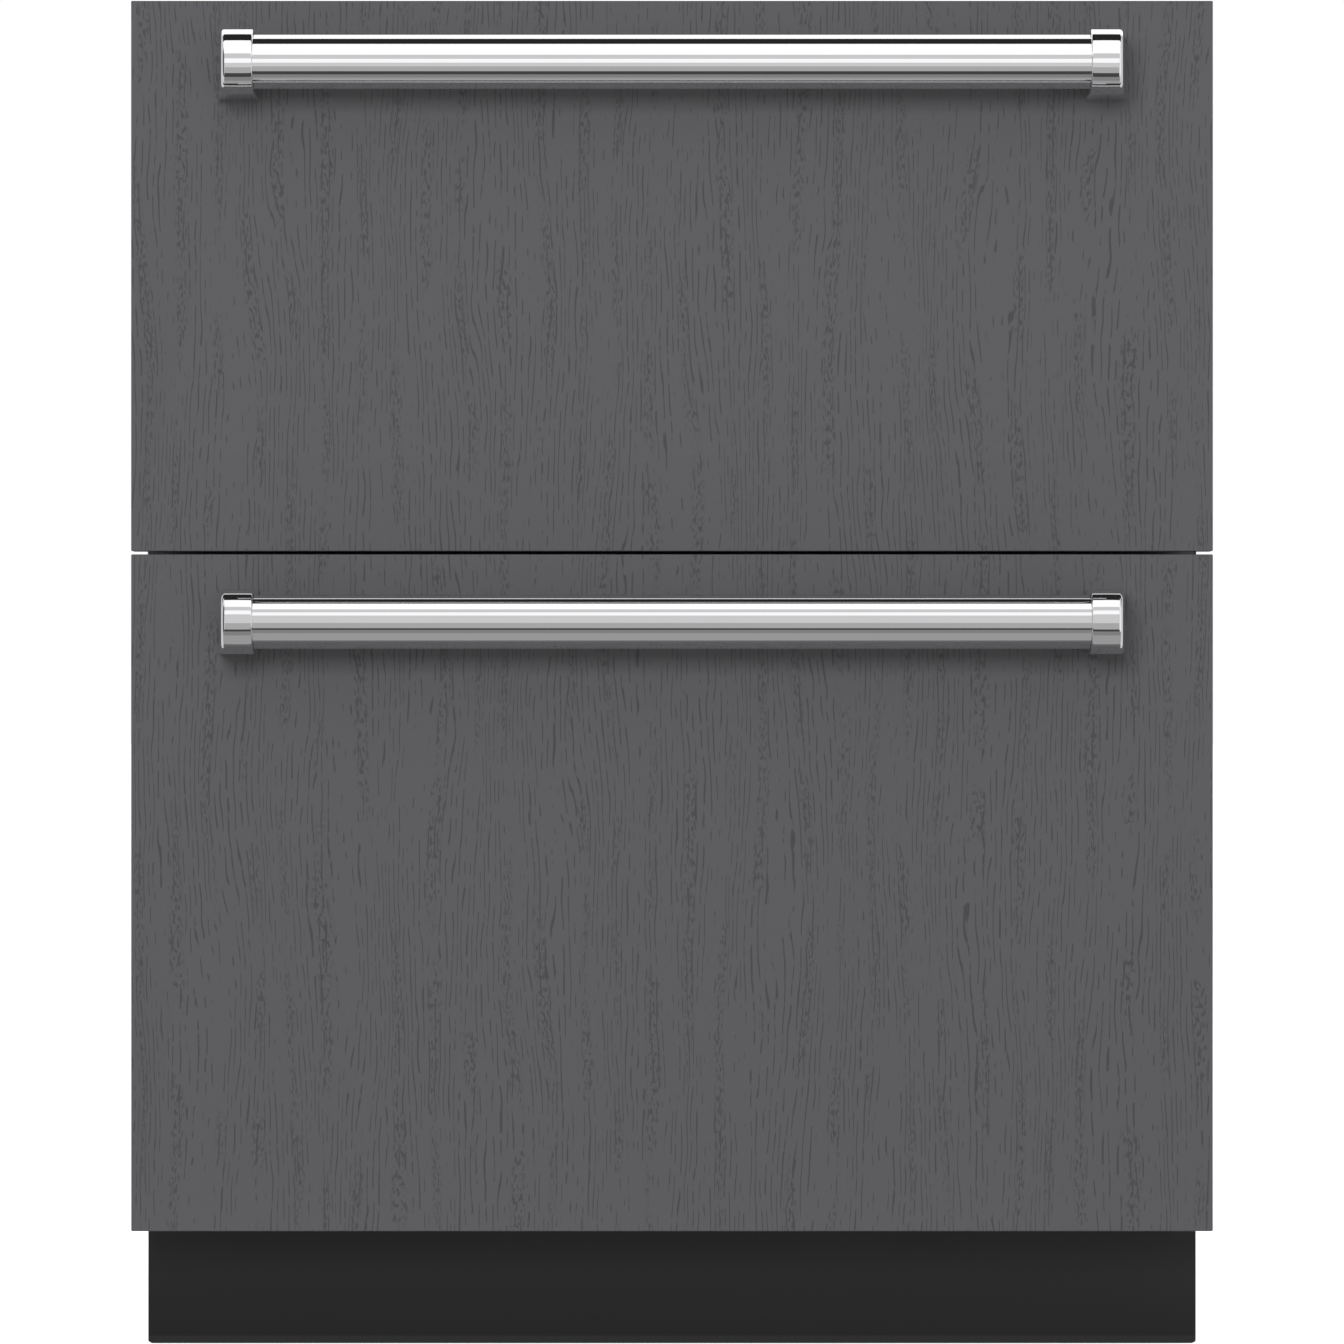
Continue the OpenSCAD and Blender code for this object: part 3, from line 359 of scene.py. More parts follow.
coated("kick_black", grey(0.012), 0.42, 0.9 * MM, 0.03 * MM, 0.12, Specular_IOR_Level=0.38)
coated("front_steel", grey(0.018, 1.04), 0.4, 1.4 * MM, 0.015 * MM, 0.1)
coated("case_steel", grey(0.115, 1.03), 0.55, 1.6 * MM, 0.02 * MM)
coated("frame_plastic", grey(0.04, 1.04), 0.45, 0.5 * MM, 0.02 * MM)
coated("liner_plastic", grey(0.78, 1.01), 0.3, 3.0 * MM, 0.01 * MM)
coated("drawer_floor", grey(0.7, 1.02), 0.34, 0.8 * MM, 0.03 * MM)
coated("gasket_rubber", grey(0.042, 1.02), 0.6, 0.6 * MM, 0.02 * MM, 0.15)
coated("touch_panel", grey(0.008, 1.1), 0.08, 5.0 * MM, 0.002 * MM, 0.3)
coated("coil_black", grey(0.05, 1.02), 0.42, 1.0 * MM, 0.02 * MM, 0.2)
coated("compressor_black", grey(0.008), 0.25, 2.0 * MM, 0.03 * MM, 0.3)
coated("rubber", grey(0.018), 0.7, 0.5 * MM, 0.03 * MM, 0.2)
coated("fan_plastic", grey(0.045, 1.06), 0.45, 0.4 * MM, 0.015 * MM)
coated("fan_white", grey(0.68, 1.01), 0.4, 0.5 * MM, 0.012 * MM)
coated("box_plastic", (0.6, 0.58, 0.53, 1), 0.5, 0.6 * MM, 0.02 * MM)
coated("foot_plastic", grey(0.02, 1.02), 0.5, 0.5 * MM, 0.02 * MM, 0.15)
print(len(finishes), "finishes so far")

# %% [markdown]
# Three finishes need more than the recipe: the foam, which is a mass of small cells, the clear
# plate of the divider, which lets light through, and the lens of a light bar, whose fine
# ribs run along it. The bars are lit, as they are when a drawer is open.

# %% Foam, clear plastic and light lens
FOAM_CELLS = 420.0  # in a metre
RIB = 1.6 * MM
foam = finish("foam")
cells = foam.add("TexVoronoi", {}, {"Vector": foam.place(), "Scale": FOAM_CELLS}, out="Distance")
skin = foam.cloud(12 * MM, detail=4.0)
foam.surface({"Base Color": foam.blend(cells * 0.5 + skin * 0.5, (0.74, 0.64, 0.4, 1),
                                       (0.56, 0.45, 0.25, 1)),
              "Roughness": 0.8 + skin * 0.15}, skin - cells * 0.5, 0.5 * MM)

clear = finish("clear_plastic")
scuffs = clear.above(clear.cloud(9 * MM, (5, 1, 1), detail=2.0), 0.55, 0.15)
clear.surface({"Base Color": clear.blend(scuffs, (0.93, 0.96, 0.97, 1), grey(0.88)),
               "Roughness": 0.08, "Transmission Weight": 0.9, "IOR": 1.49})

lens = finish("light_lens")
_, lens_y, lens_z = lens.add("SeparateXYZ", {}, {"Vector": lens.place()}, out=("X", "Y", "Z"))
ribs = ((lens_y + lens_z) * (math.tau / RIB)).wave()
# The lens's colour is painted shade: a little darker in the ribs' troughs and lighter on their
# crests, following the same wave as its relief.
lens.surface({"Base Color": lens.blend(ribs * 0.5 + 0.5, grey(0.86), grey(0.93)),
              "Roughness": 0.3 + ribs * 0.05, "Emission Color": grey(1.0),
              "Emission Strength": 5.0}, ribs, 0.15 * MM)
print(len(finishes), "finishes")

# %% [markdown]
# ## Making a piece
#
# Every piece is built in a bmesh, Blender's editable mesh, and then becomes an object. Some
# start from one of Blender's own shapes. Others start from a copy of their CAD solid: a CAD
# solid arrives as loose triangles, so the copy's doubled points are merged and its flat faces
# joined, and then its edges can be rounded. No real edge is perfectly sharp, and it is the thin
# bright line along a rounded edge that makes metal and paint look real.

# %% Helpers for boxes, edges and pieces
TINY = 0.02 * MM


def block(bm, low, high):
    """A box between two corners."""
    low, high = Vector(low), Vector(high)
    size = Matrix.Diagonal((*(high - low), 1))
    bmesh.ops.create_cube(bm, size=1, matrix=Matrix.Translation((low + high) / 2) @ size)


def moved(made, kind=bmesh.types.BMVert):
    """The new points, or edges or faces, that an operator has made."""
    return [g for g in made["geom"] if isinstance(g, kind)]


def round_edges(bm, edges, width, steps=2):
    """Bevels the edges, and takes out the faces without an area that this can leave."""
    bmesh.ops.bevel(bm, geom=list(edges), offset=width, offset_type="OFFSET", affect="EDGES",
                    segments=steps, profile=0.5, material=-1, clamp_overlap=True)
    bmesh.ops.dissolve_degenerate(bm, dist=0.002 * MM, edges=bm.edges)


def outline(bm, low, high):
    """The edges of a box-like part that lie along two of its limits."""
    def limits(vert):
        return {(axis, side) for axis in range(3) for side, end in enumerate((low, high))
                if abs(vert.co[axis] - end[axis]) < TINY}
    return [e for e in bm.edges if len(limits(e.verts[0]) & limits(e.verts[1])) > 1]


def outer_corners(bm, longer_than):
    """The long edges where two flat faces meet at an outer corner."""
    return [e for e in bm.edges if e.is_manifold and e.calc_length() > longer_than
            and e.calc_face_angle_signed() > math.radians(50)]


def piece(name, bm, node, slot=None, crease=32, stands=True):
    """Turns a bmesh into an object that rides where its CAD node rides."""
    mesh = bpy.data.meshes.new(name)
    bm.to_mesh(mesh)
    bm.free()
    mesh.shade_smooth()
    mesh.set_sharp_from_angle(angle=math.radians(crease))
    slot = slot or slot_of[node]
    mesh.materials.append(finishes[slot])
    obj = bpy.data.objects.new(name, mesh)
    scene.collection.objects.link(obj)
    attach(obj, body_of[node])
    if stands:
        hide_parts(node)
    print(f"{name}: {len(mesh.polygons)} faces")


def copy_of(node):
    """A merged copy of a CAD node, with its flat faces joined."""
    bm = bmesh.new()
    bm.from_mesh(nodes[node].data)
    for layer in [n for n in bm.loops.layers.float_vector.keys() if "normal" in n]:
        bm.loops.layers.float_vector.remove(bm.loops.layers.float_vector[layer])
    bmesh.ops.remove_doubles(bm, verts=bm.verts, dist=0.001 * MM)
    bmesh.ops.dissolve_limit(bm, angle_limit=math.radians(1), verts=bm.verts, edges=bm.edges)
    return bm


# %% [markdown]
# ## The overlay panels
#
# Each panel is a flat board of stained oak veneer, 19 mm thick, with eased edges. A new box
# would do, but the copy of the CAD board keeps the holes for the handles' screws at its back.

# %% Make the panels
PANEL_EDGE = 0.8 * MM
for drawer in ("upper", "lower"):
    node = f"{drawer}_overlay_panel"
    board = copy_of(node)
    round_edges(board, outline(board, *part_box(node)), PANEL_EDGE, 3)
    piece(f"{drawer}_wood_panel", board, node)

# %% [markdown]
# ## The handles
#
# A handle is a straight tube of polished steel between two posts. The tube is a circle that is
# pushed along its axis and given its wall. It has many sides, because a mirror shows every
# corner of a coarse one.

# %% Make the tubes
TUBE_SIDES = 128
TUBE_WALL = 2 * MM
ALONG_X = Matrix.Rotation(math.radians(90), 4, "Y")
for drawer in ("upper", "lower"):
    node = f"{drawer}_handle_bar"
    low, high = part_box(node)
    middle = (low + high) / 2
    tube = bmesh.new()
    bmesh.ops.create_circle(
        tube, cap_ends=False, segments=TUBE_SIDES, radius=(high.z - low.z) / 2,
        matrix=Matrix.Translation((low.x, middle.y, middle.z)) @ ALONG_X)
    pushed = bmesh.ops.extrude_edge_only(tube, edges=tube.edges)
    bmesh.ops.translate(tube, vec=(high.x - low.x, 0, 0), verts=moved(pushed))
    bmesh.ops.recalc_face_normals(tube, faces=tube.faces)
    bmesh.ops.solidify(tube, geom=tube.faces[:], thickness=TUBE_WALL)
    bmesh.ops.recalc_face_normals(tube, faces=tube.faces)
    piece(f"{drawer}_handle_tube", tube, node)

# %% [markdown]
# A post is flat inside, where the tube enters it, and its outer side widens to the panel. Seen
# from the side it is a half circle with straight legs. So half a circle is spun from one point,
# the legs are drawn back to the panel, and the face between them is pushed across to the outer
# side, which is then slanted. Its rim is rounded more on the outer side than on the inner one.
# In front it is 1.2 mm narrower than its solid, which is nearer to the photograph. The tube's
# socket is a circle in the inner face, bridged to its outline and pushed in. The second post is
# the first one mirrored.

# %% Make the posts
POST_STEPS = 32
POST_FRONT = 19.2 * MM  # its width where it is narrowest
OUTER_ROUND, INNER_ROUND = 2.4 * MM, 1.1 * MM
SOCKET = 12 * MM
SOCKET_STOP = 1 * MM  # from the tube's end to the socket's floor
SOCKET_GAP = 0.05 * MM


def post(bm, low, high, grip, radius, tube_radius):
    """One post, from its inner face at low.x to its foot's outer edge at high.x."""
    centre = Vector((low.x, grip.y, grip.z))
    tip = bm.verts.new(centre + Vector((0, 0, radius)))
    bmesh.ops.spin(bm, geom=[tip], cent=centre, axis=(1, 0, 0), angle=math.pi,
                   steps=POST_STEPS, use_merge=False, use_duplicate=False)
    ends = [v for v in bm.verts if len(v.link_edges) == 1]
    legs = bmesh.ops.extrude_vert_indiv(bm, verts=ends)["verts"]
    for leg in legs:
        leg.co.y = high.y
    bmesh.ops.contextual_create(bm, geom=legs)
    side = bmesh.ops.contextual_create(bm, geom=bm.edges[:])["faces"]
    outer = bmesh.ops.extrude_face_region(bm, geom=side)
    outer_verts = moved(outer)
    bmesh.ops.translate(bm, vec=(high.x - low.x, 0, 0), verts=outer_verts)
    depth = high.y - low.y
    slant = Matrix.Identity(4)
    slant[0][1] = (high.x - low.x - POST_FRONT) / depth
    bmesh.ops.transform(bm, matrix=Matrix.Translation((0, high.y, 0)) @ slant
                        @ Matrix.Translation((0, -high.y, 0)), verts=outer_verts)

    def rim_of(face):
        return [e for e in face.edges if not all(v.co.y > high.y - TINY for v in e.verts)]

    round_edges(bm, rim_of(moved(outer, bmesh.types.BMFace)[0]), OUTER_ROUND, 5)
    inner = min((f for f in bm.faces if len(f.verts) > 8), key=lambda f: f.calc_center_median().x)
    round_edges(bm, rim_of(inner), INNER_ROUND, 3)
    inner = max((f for f in bm.faces if abs(f.normal.x) > 0.99
                 and f.calc_center_median().x < low.x + TINY), key=lambda f: f.calc_area())
    rim = inner.edges[:]
    bmesh.ops.delete(bm, geom=[inner], context="FACES_ONLY")
    before = set(bm.edges)
    bmesh.ops.create_circle(bm, cap_ends=False, segments=64, radius=tube_radius + SOCKET_GAP,
                            matrix=Matrix.Translation(centre) @ ALONG_X)
    mouth = [e for e in bm.edges if e not in before]
    bmesh.ops.bridge_loops(bm, edges=rim + mouth)
    wall = bmesh.ops.extrude_edge_only(bm, edges=mouth)
    bmesh.ops.translate(bm, vec=(SOCKET, 0, 0), verts=moved(wall))
    bmesh.ops.contextual_create(bm, geom=moved(wall, bmesh.types.BMEdge))
    bmesh.ops.recalc_face_normals(bm, faces=bm.faces)


for drawer in ("upper", "lower"):
    node = f"{drawer}_handle_posts"
    low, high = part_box(node)
    bar_low, bar_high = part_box(f"{drawer}_handle_bar")
    grip = (bar_low + bar_high) / 2
    inner_x = bar_high.x - SOCKET + SOCKET_STOP
    pair = bmesh.new()
    post(pair, Vector((inner_x, low.y, low.z)), high, grip, (high.z - low.z) / 2,
         (bar_high.z - bar_low.z) / 2)
    bmesh.ops.mirror(pair, geom=pair.verts[:] + pair.edges[:] + pair.faces[:],
                     matrix=Matrix.Identity(4), merge_dist=0.0, axis="X")
    bmesh.ops.recalc_face_normals(pair, faces=pair.faces)
    piece(f"{drawer}_posts", pair, node)

# %% [markdown]
# ## Sheet metal, mouldings and machinery
#
# Most of the other solids already have their right shape, and only their edges are too sharp.
# Every long outer corner is rounded by a width that suits the material: a folded sheet has a
# small radius, a moulding a larger one. The kick plate's two lower corners are also cut round,
# as the photograph shows. Round solids get no rounding, but their copies are shaded smooth,
# which the loose triangles of the CAD model are not.

# %% Round the edges of the plain solids
EASED = {
    "side_panel_left": 0.4, "side_panel_right": 0.4, "top_panel": 0.4, "kickplate": 0.4,
    "front_frame": 0.8, "drain_pan": 0.6, "electronics_box": 1.5, "light_bars": 1.5,
    "control_panel": 1.0, "condenser_fan_shroud": 0.8, "counter_brackets": 0.4,
    "upper_front_shell": 1.0, "lower_front_shell": 1.0,
    "upper_front_liner": 1.2, "lower_front_liner": 1.2,
    "upper_drawer_walls": 1.0, "lower_drawer_walls": 1.0, "upper_divider": 0.8,
    "upper_cabinet_rails": 0.3, "upper_middle_rails": 0.3, "upper_drawer_rails": 0.3,
    "lower_cabinet_rails": 0.3, "lower_middle_rails": 0.3, "lower_drawer_rails": 0.3,
}
LONG = 12 * MM  # shorter edges stay as they are
KICK_CORNER = 1.5 * MM
for node, width in EASED.items():
    solid = copy_of(node)
    if node == "kickplate":
        floor_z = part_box(node)[0].z
        corners = [e for e in solid.edges if all(v.co.z < floor_z + TINY for v in e.verts)
                   and abs(e.verts[0].co.y - e.verts[1].co.y) > TINY]
        round_edges(solid, corners, KICK_CORNER, 4)
    round_edges(solid, outer_corners(solid, LONG), width * MM)
    piece(f"{node}_eased", solid, node)

# %% Shade the round solids smooth
for node in ("base_pan", "rear_cover", "evaporator_coil", "evaporator_cover",
             "evaporator_fan_motor", "evaporator_fan_blade", "compressor",
             "compressor_grommets", "condenser_coil", "condenser_fan_motor",
             "condenser_fan_blade", "refrigerant_lines", "cord_gland",
             "upper_handle_screws", "lower_handle_screws"):
    piece(f"{node}_smooth", copy_of(node), node)

# %% [markdown]
# ## The inner liner
#
# A liner is drawn from one warm sheet of plastic into a mould, so all its inner corners are
# round. Its cavity steps up at the back, over the machine compartment. The cavity's outline is
# pushed across as a solid, its front is opened, its edges are rounded, and only then does the
# sheet get its thickness, outwards into the foam.

# %% Form the liner
def levels(node, axis):
    """The different heights, or depths, at which a CAD node has corners."""
    found = sorted(v.co[axis] for v in nodes[node].data.vertices)
    return [n for i, n in enumerate(found) if i == 0 or n - found[i - 1] > 0.1 * MM]


DRAWN_RADIUS = 8 * MM
ys, zs, xs = levels("inner_liner", 1), levels("inner_liner", 2), levels("inner_liner", 0)
front_y, step_y, back_y = ys[0], ys[1], ys[-2]
floor_z, step_z, roof_z = zs[1], zs[3], zs[-2]
liner = bmesh.new()
corners = [(front_y, floor_z), (step_y, floor_z), (step_y, step_z), (back_y, step_z),
           (back_y, roof_z), (front_y, roof_z)]
side = liner.faces.new([liner.verts.new((xs[1], *corner)) for corner in corners])
pushed = bmesh.ops.extrude_face_region(liner, geom=[side])
bmesh.ops.translate(liner, vec=(xs[-2] - xs[1], 0, 0), verts=moved(pushed))
mouth = [f for f in liner.faces if all(v.co.y < front_y + TINY for v in f.verts)]
bmesh.ops.delete(liner, geom=mouth, context="FACES_ONLY")
bmesh.ops.recalc_face_normals(liner, faces=liner.faces)
round_edges(liner, [e for e in liner.edges if not e.is_boundary], DRAWN_RADIUS, 5)
bmesh.ops.solidify(liner, geom=liner.faces[:], thickness=-(xs[1] - xs[0]))
bmesh.ops.recalc_face_normals(liner, faces=liner.faces)
piece("liner_drawn", liner, "inner_liner")

# %% [markdown]
# ## The back panel
#
# A large thin sheet would drum, so shallow fields are pressed into it. They could be only a
# shading trick, but from the side a pressed field shows as a real step. The sheet is cut by
# planes into fields, and each field is inset and pushed in.

# %% Press the back panel
FIELD_COLUMNS = 2
FIELD_ROWS = 3
FIELD_MARGIN = 28 * MM
FIELD_SLOPE = 5 * MM
FIELD_DEPTH = 0.8 * MM
FIELD_AREA = 0.02  # square metres, less than a field and more than a margin
low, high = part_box("back_panel")
sheet = bmesh.new()
block(sheet, low, high)


def cut(bm, place, direction):
    """Cuts all faces along a plane, and keeps both sides."""
    bmesh.ops.bisect_plane(bm, geom=bm.verts[:] + bm.edges[:] + bm.faces[:],
                           plane_co=place, plane_no=direction, dist=TINY)


for axis, count in ((0, FIELD_COLUMNS), (2, FIELD_ROWS)):
    normal = Vector((axis == 0, 0, axis == 2))
    step = (high[axis] - low[axis]) / count
    for i in range(count):
        for end in (i * step + FIELD_MARGIN, (i + 1) * step - FIELD_MARGIN):
            cut(sheet, low + normal * end, normal)
fields = [f for f in sheet.faces if f.normal.y > 0.9 and f.calc_area() > FIELD_AREA]
bmesh.ops.inset_individual(sheet, faces=fields, thickness=FIELD_SLOPE, depth=-FIELD_DEPTH)
piece("back_sheet_pressed", sheet, "back_panel", crease=4)
print(len(fields), "pressed fields")

# %% [markdown]
# ## Louvres of the rear cover
#
# The rear cover breathes through rows of slots. Over each slot the sheet is lanced and pushed
# out into a small hood, open at its lower side, so that dust and fingers stay out. One hood is a
# box with its outer top edge pulled in, its open sides taken off and its sheet thickened. The
# others are copies of it.

# %% Make the louvres
SLOT_W, SLOT_H = 60 * MM, 4 * MM
SLOT_COLUMNS, SLOT_ROWS = 5, 7
SLOT_STEP, SLOT_MARGIN = 85 * MM, 45 * MM
HOOD_OUT, HOOD_TOP_OUT, HOOD_SHEET = 3.0 * MM, 0.4 * MM, 0.7 * MM
HOOD_SIDE, HOOD_RISE, HOOD_ROUND = 1 * MM, 3 * MM, 0.8 * MM
low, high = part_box("rear_cover")
pitch = (high.z - low.z - 2 * SLOT_MARGIN) / (SLOT_ROWS - 1)
first = Vector((-(SLOT_COLUMNS - 1) / 2 * SLOT_STEP, high.y, low.z + SLOT_MARGIN))
hoods = bmesh.new()
block(hoods, first + Vector((-SLOT_W / 2 - HOOD_SIDE, 0, 0)),
      first + Vector((SLOT_W / 2 + HOOD_SIDE, HOOD_OUT, SLOT_H + HOOD_RISE)))
for v in hoods.verts:
    if v.co.y > high.y + TINY and v.co.z > first.z + SLOT_H:
        v.co.y = high.y + HOOD_TOP_OUT
open_sides = [f for f in hoods.faces if f.normal.z < -0.9 or f.normal.y < -0.9]
bmesh.ops.delete(hoods, geom=open_sides, context="FACES")
round_edges(hoods, [e for e in hoods.edges if not e.is_boundary], HOOD_ROUND, 3)
bmesh.ops.solidify(hoods, geom=hoods.faces[:], thickness=HOOD_SHEET)
bmesh.ops.recalc_face_normals(hoods, faces=hoods.faces)
one = hoods.verts[:] + hoods.edges[:] + hoods.faces[:]
for column in range(SLOT_COLUMNS):
    for row in range(SLOT_ROWS):
        if column or row:
            made = bmesh.ops.duplicate(hoods, geom=one)
            bmesh.ops.translate(hoods, vec=(column * SLOT_STEP, 0, row * pitch),
                                verts=moved(made))
piece("rear_louvres", hoods, "rear_cover", stands=False)

# %% [markdown]
# ## Screws, feet and key rings
#
# The rear cover's screws have a hexagonal head on a washer. A foot is a wide pad with a nut
# moulded on it, on a threaded rod. The thread is the outline of one tooth, spun round the rod
# while it rises by one pitch a turn, so it is a true helix.

# %% Turned shapes
def turned(bm, outline, centre, axis=(0, 0, 1), steps=48):
    """Spins an outline of (radius, height) points once round an axis through the centre."""
    turn = Vector((0, 0, 1)).rotation_difference(Vector(axis)).to_matrix()
    rim = [bm.verts.new(Vector(centre) + turn @ Vector((r, 0, h))) for r, h in outline]
    line = [bm.edges.new(pair) for pair in zip(rim, rim[1:])]
    bmesh.ops.spin(bm, geom=rim + line, cent=centre, axis=axis, angle=math.tau, steps=steps,
                   use_merge=True, use_duplicate=False)


def close(bm):
    """Merges the doubled points of spun shapes, fills what is open and turns all faces out."""
    bmesh.ops.remove_doubles(bm, verts=bm.verts, dist=0.001 * MM)
    bmesh.ops.holes_fill(bm, edges=[e for e in bm.edges if e.is_boundary], sides=0)
    bmesh.ops.recalc_face_normals(bm, faces=bm.faces)


# %% Hexagonal heads on the rear cover
SHANK, SHANK_LENGTH, SHANK_TIP = 2 * MM, 8.5 * MM, 1 * MM
WASHER, WASHER_T, WASHER_RIM = 4 * MM, 0.8 * MM, 0.5 * MM
HEAD, HEAD_T, HEAD_SEAT = 3.1 * MM, 2.4 * MM, 0.7 * MM
low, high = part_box("rear_cover_screws")
heads = bmesh.new()
for sx in (low.x + WASHER, high.x - WASHER):
    for sz in (low.z + WASHER, high.z - WASHER):
        seat = Vector((sx, high.y - HEAD_T, sz))
        turned(heads, [(0, -SHANK_LENGTH), (SHANK, SHANK_TIP - SHANK_LENGTH), (SHANK, 0),
                       (WASHER, 0), (WASHER, WASHER_RIM), (WASHER * 0.9, WASHER_T),
                       (0, WASHER_T)], seat, axis=(0, 1, 0), steps=24)
        depth = HEAD_T - HEAD_SEAT
        bmesh.ops.create_cone(
            heads, cap_ends=True, segments=6, radius1=HEAD, radius2=HEAD * 0.94, depth=depth,
            matrix=Matrix.Translation(seat + Vector((0, HEAD_T - depth / 2, 0)))
            @ Matrix.Rotation(math.radians(-90), 4, "X"))
close(heads)
piece("rear_cover_hex_screws", heads, "rear_cover_screws")

# %% Feet with threaded rods
PAD_H, PAD_RIM, PAD_EDGE, PAD_TOP_R = 6 * MM, 3.4 * MM, 1 * MM, 11 * MM
NUT_H, NUT_R, NUT_ROUND = 8 * MM, 9.4 * MM, 0.5 * MM
THREAD_R, CORE_R, PITCH, TURN_STEPS = 4.95 * MM, 4.25 * MM, 2 * MM, 20
ROD_SUNK, ROD_PLAIN = 1 * MM, 2 * MM  # how deep it starts in the nut, and its end without thread
for side in ("front_left", "front_right", "back_left", "back_right"):
    node = f"foot_{side}"
    low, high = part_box(node)
    centre = (low + high) / 2
    centre.z = 0
    pad_r = (high.x - low.x) / 2
    pad = bmesh.new()
    turned(pad, [(0, 0), (pad_r - PAD_EDGE, 0), (pad_r, PAD_EDGE), (pad_r, PAD_RIM),
                 (pad_r - 1.5 * PAD_EDGE, PAD_RIM + 1.2 * PAD_EDGE), (PAD_TOP_R, PAD_H),
                 (0, PAD_H)], centre)
    nut = bmesh.ops.create_cone(
        pad, cap_ends=True, segments=6, radius1=NUT_R, radius2=NUT_R, depth=NUT_H,
        matrix=Matrix.Translation(centre + Vector((0, 0, PAD_H + NUT_H / 2))))["verts"]
    close(pad)
    nut_edges = {e for v in nut if v.is_valid for e in v.link_edges}
    round_edges(pad, nut_edges, NUT_ROUND)
    piece(f"{node}_pad", pad, node)
    rod = bmesh.new()
    base, top = PAD_H + NUT_H - ROD_SUNK, high.z
    turns = int((top - base - ROD_PLAIN) / PITCH)
    tooth = [rod.verts.new(centre + Vector((r, 0, base + h))) for r, h in
             ((CORE_R, 0), (THREAD_R, PITCH * 0.42), (THREAD_R, PITCH * 0.58), (CORE_R, PITCH))]
    edges = [rod.edges.new(pair) for pair in zip(tooth, tooth[1:])]
    bmesh.ops.spin(rod, geom=tooth + edges, cent=centre, axis=(0, 0, 1),
                   angle=math.tau * turns, steps=turns * TURN_STEPS,
                   dvec=(0, 0, PITCH / TURN_STEPS), use_merge=False, use_duplicate=False)
    tip = base + turns * PITCH
    turned(rod, [(0, tip - MM), (CORE_R + 0.2 * MM, tip - MM), (THREAD_R, tip),
                 (THREAD_R, top - MM), (CORE_R - 0.4 * MM, top), (0, top)], centre, steps=24)
    close(rod)
    piece(f"{node}_rod", rod, node, slot="screw_steel")

# %% Rings round the keys of the control panel
KEYS, KEY_PITCH, KEY_R, KEY_SETBACK, RING_R = 5, 34 * MM, 6 * MM, 36 * MM, 0.45 * MM
low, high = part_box("control_panel")
rings = bmesh.new()
for i in range(KEYS):
    key = Vector(((i - (KEYS - 1) / 2) * KEY_PITCH, low.y + KEY_SETBACK, low.z))
    wire = bmesh.ops.create_circle(
        rings, cap_ends=False, segments=10, radius=RING_R,
        matrix=Matrix.Translation(key + Vector((KEY_R + RING_R, 0, 0)))
        @ Matrix.Rotation(math.radians(90), 4, "X"))["verts"]
    hoop = {e for v in wire for e in v.link_edges}
    bmesh.ops.spin(rings, geom=wire + list(hoop), cent=key, axis=(0, 0, 1), angle=math.tau,
                   steps=32, use_merge=True, use_duplicate=False)
close(rings)
piece("key_rings", rings, "control_panel", slot="screw_steel", stands=False)

# %% [markdown]
# ## Gaskets
#
# A drawer's gasket is a soft extrusion: a foot that clips into the drawer front, bellows that
# fold, and a broad face with a magnet in it that seals on the frame. Its outline is drawn once at
# one corner. The outline is extruded and mirrored to the next corner, and the next, which makes
# true mitres, and the last side is bridged.

# %% Make the gaskets
GASKET_OUTLINE = [(0.6, 0), (0, 0.8), (0, 2.2), (1.8, 3.0), (1.8, 3.9), (0.3, 4.9), (0.3, 8.4),
                  (1.3, 9.7), (14.7, 9.7), (15.7, 8.4), (15.7, 4.9), (14.2, 3.9), (14.2, 3.0),
                  (16, 2.2), (16, 0.8), (15.4, 0)]
for drawer in ("upper", "lower"):
    node = f"{drawer}_gasket"
    low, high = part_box(node)
    middle = (low + high) / 2
    seal = bmesh.new()
    start = [seal.verts.new((high.x - u * MM, low.y + v * MM, low.z + u * MM))
             for u, v in GASKET_OUTLINE]
    loop = [seal.edges.new(pair) for pair in zip(start, start[1:] + start[:1])]
    first_loop = loop
    for axis in (2, 0, 2):
        grown = bmesh.ops.extrude_edge_only(seal, edges=loop)
        flip = Matrix.Identity(4)
        flip[axis][axis] = -1
        bmesh.ops.transform(seal, verts=moved(grown), matrix=Matrix.Translation(middle) @ flip
                            @ Matrix.Translation(-middle))
        new = set(moved(grown))
        loop = [e for e in moved(grown, bmesh.types.BMEdge) if set(e.verts) <= new]
    bmesh.ops.bridge_loops(seal, edges=first_loop + loop)
    bmesh.ops.recalc_face_normals(seal, faces=seal.faces)
    piece(f"{drawer}_gasket_bellows", seal, node, crease=50)

# %% [markdown]
# ## What stays as the CAD made it
#
# Flat sheets, slabs of foam and the drawers' floors keep their CAD solids. They only get their
# finish.

# %% Finish the rest
kept = [name for name, obj in nodes.items() if not obj.hide_render]
for name in kept:
    for material_slot in nodes[name].material_slots:
        material_slot.material = finishes[slot_of[name]]
print("kept as they are:", ", ".join(kept))

# %% [markdown]
# ## The studio
#
# The floor is large, pale and plain. The camera sees pure white behind the appliance, as in
# the photograph, so the world is white to the camera and dimmer to the light that it gives.
# The key light stands above the camera and a little to the left: it casts the handles' soft
# shadow down the wood. A second, broad light behind and above shows the back in the other views.

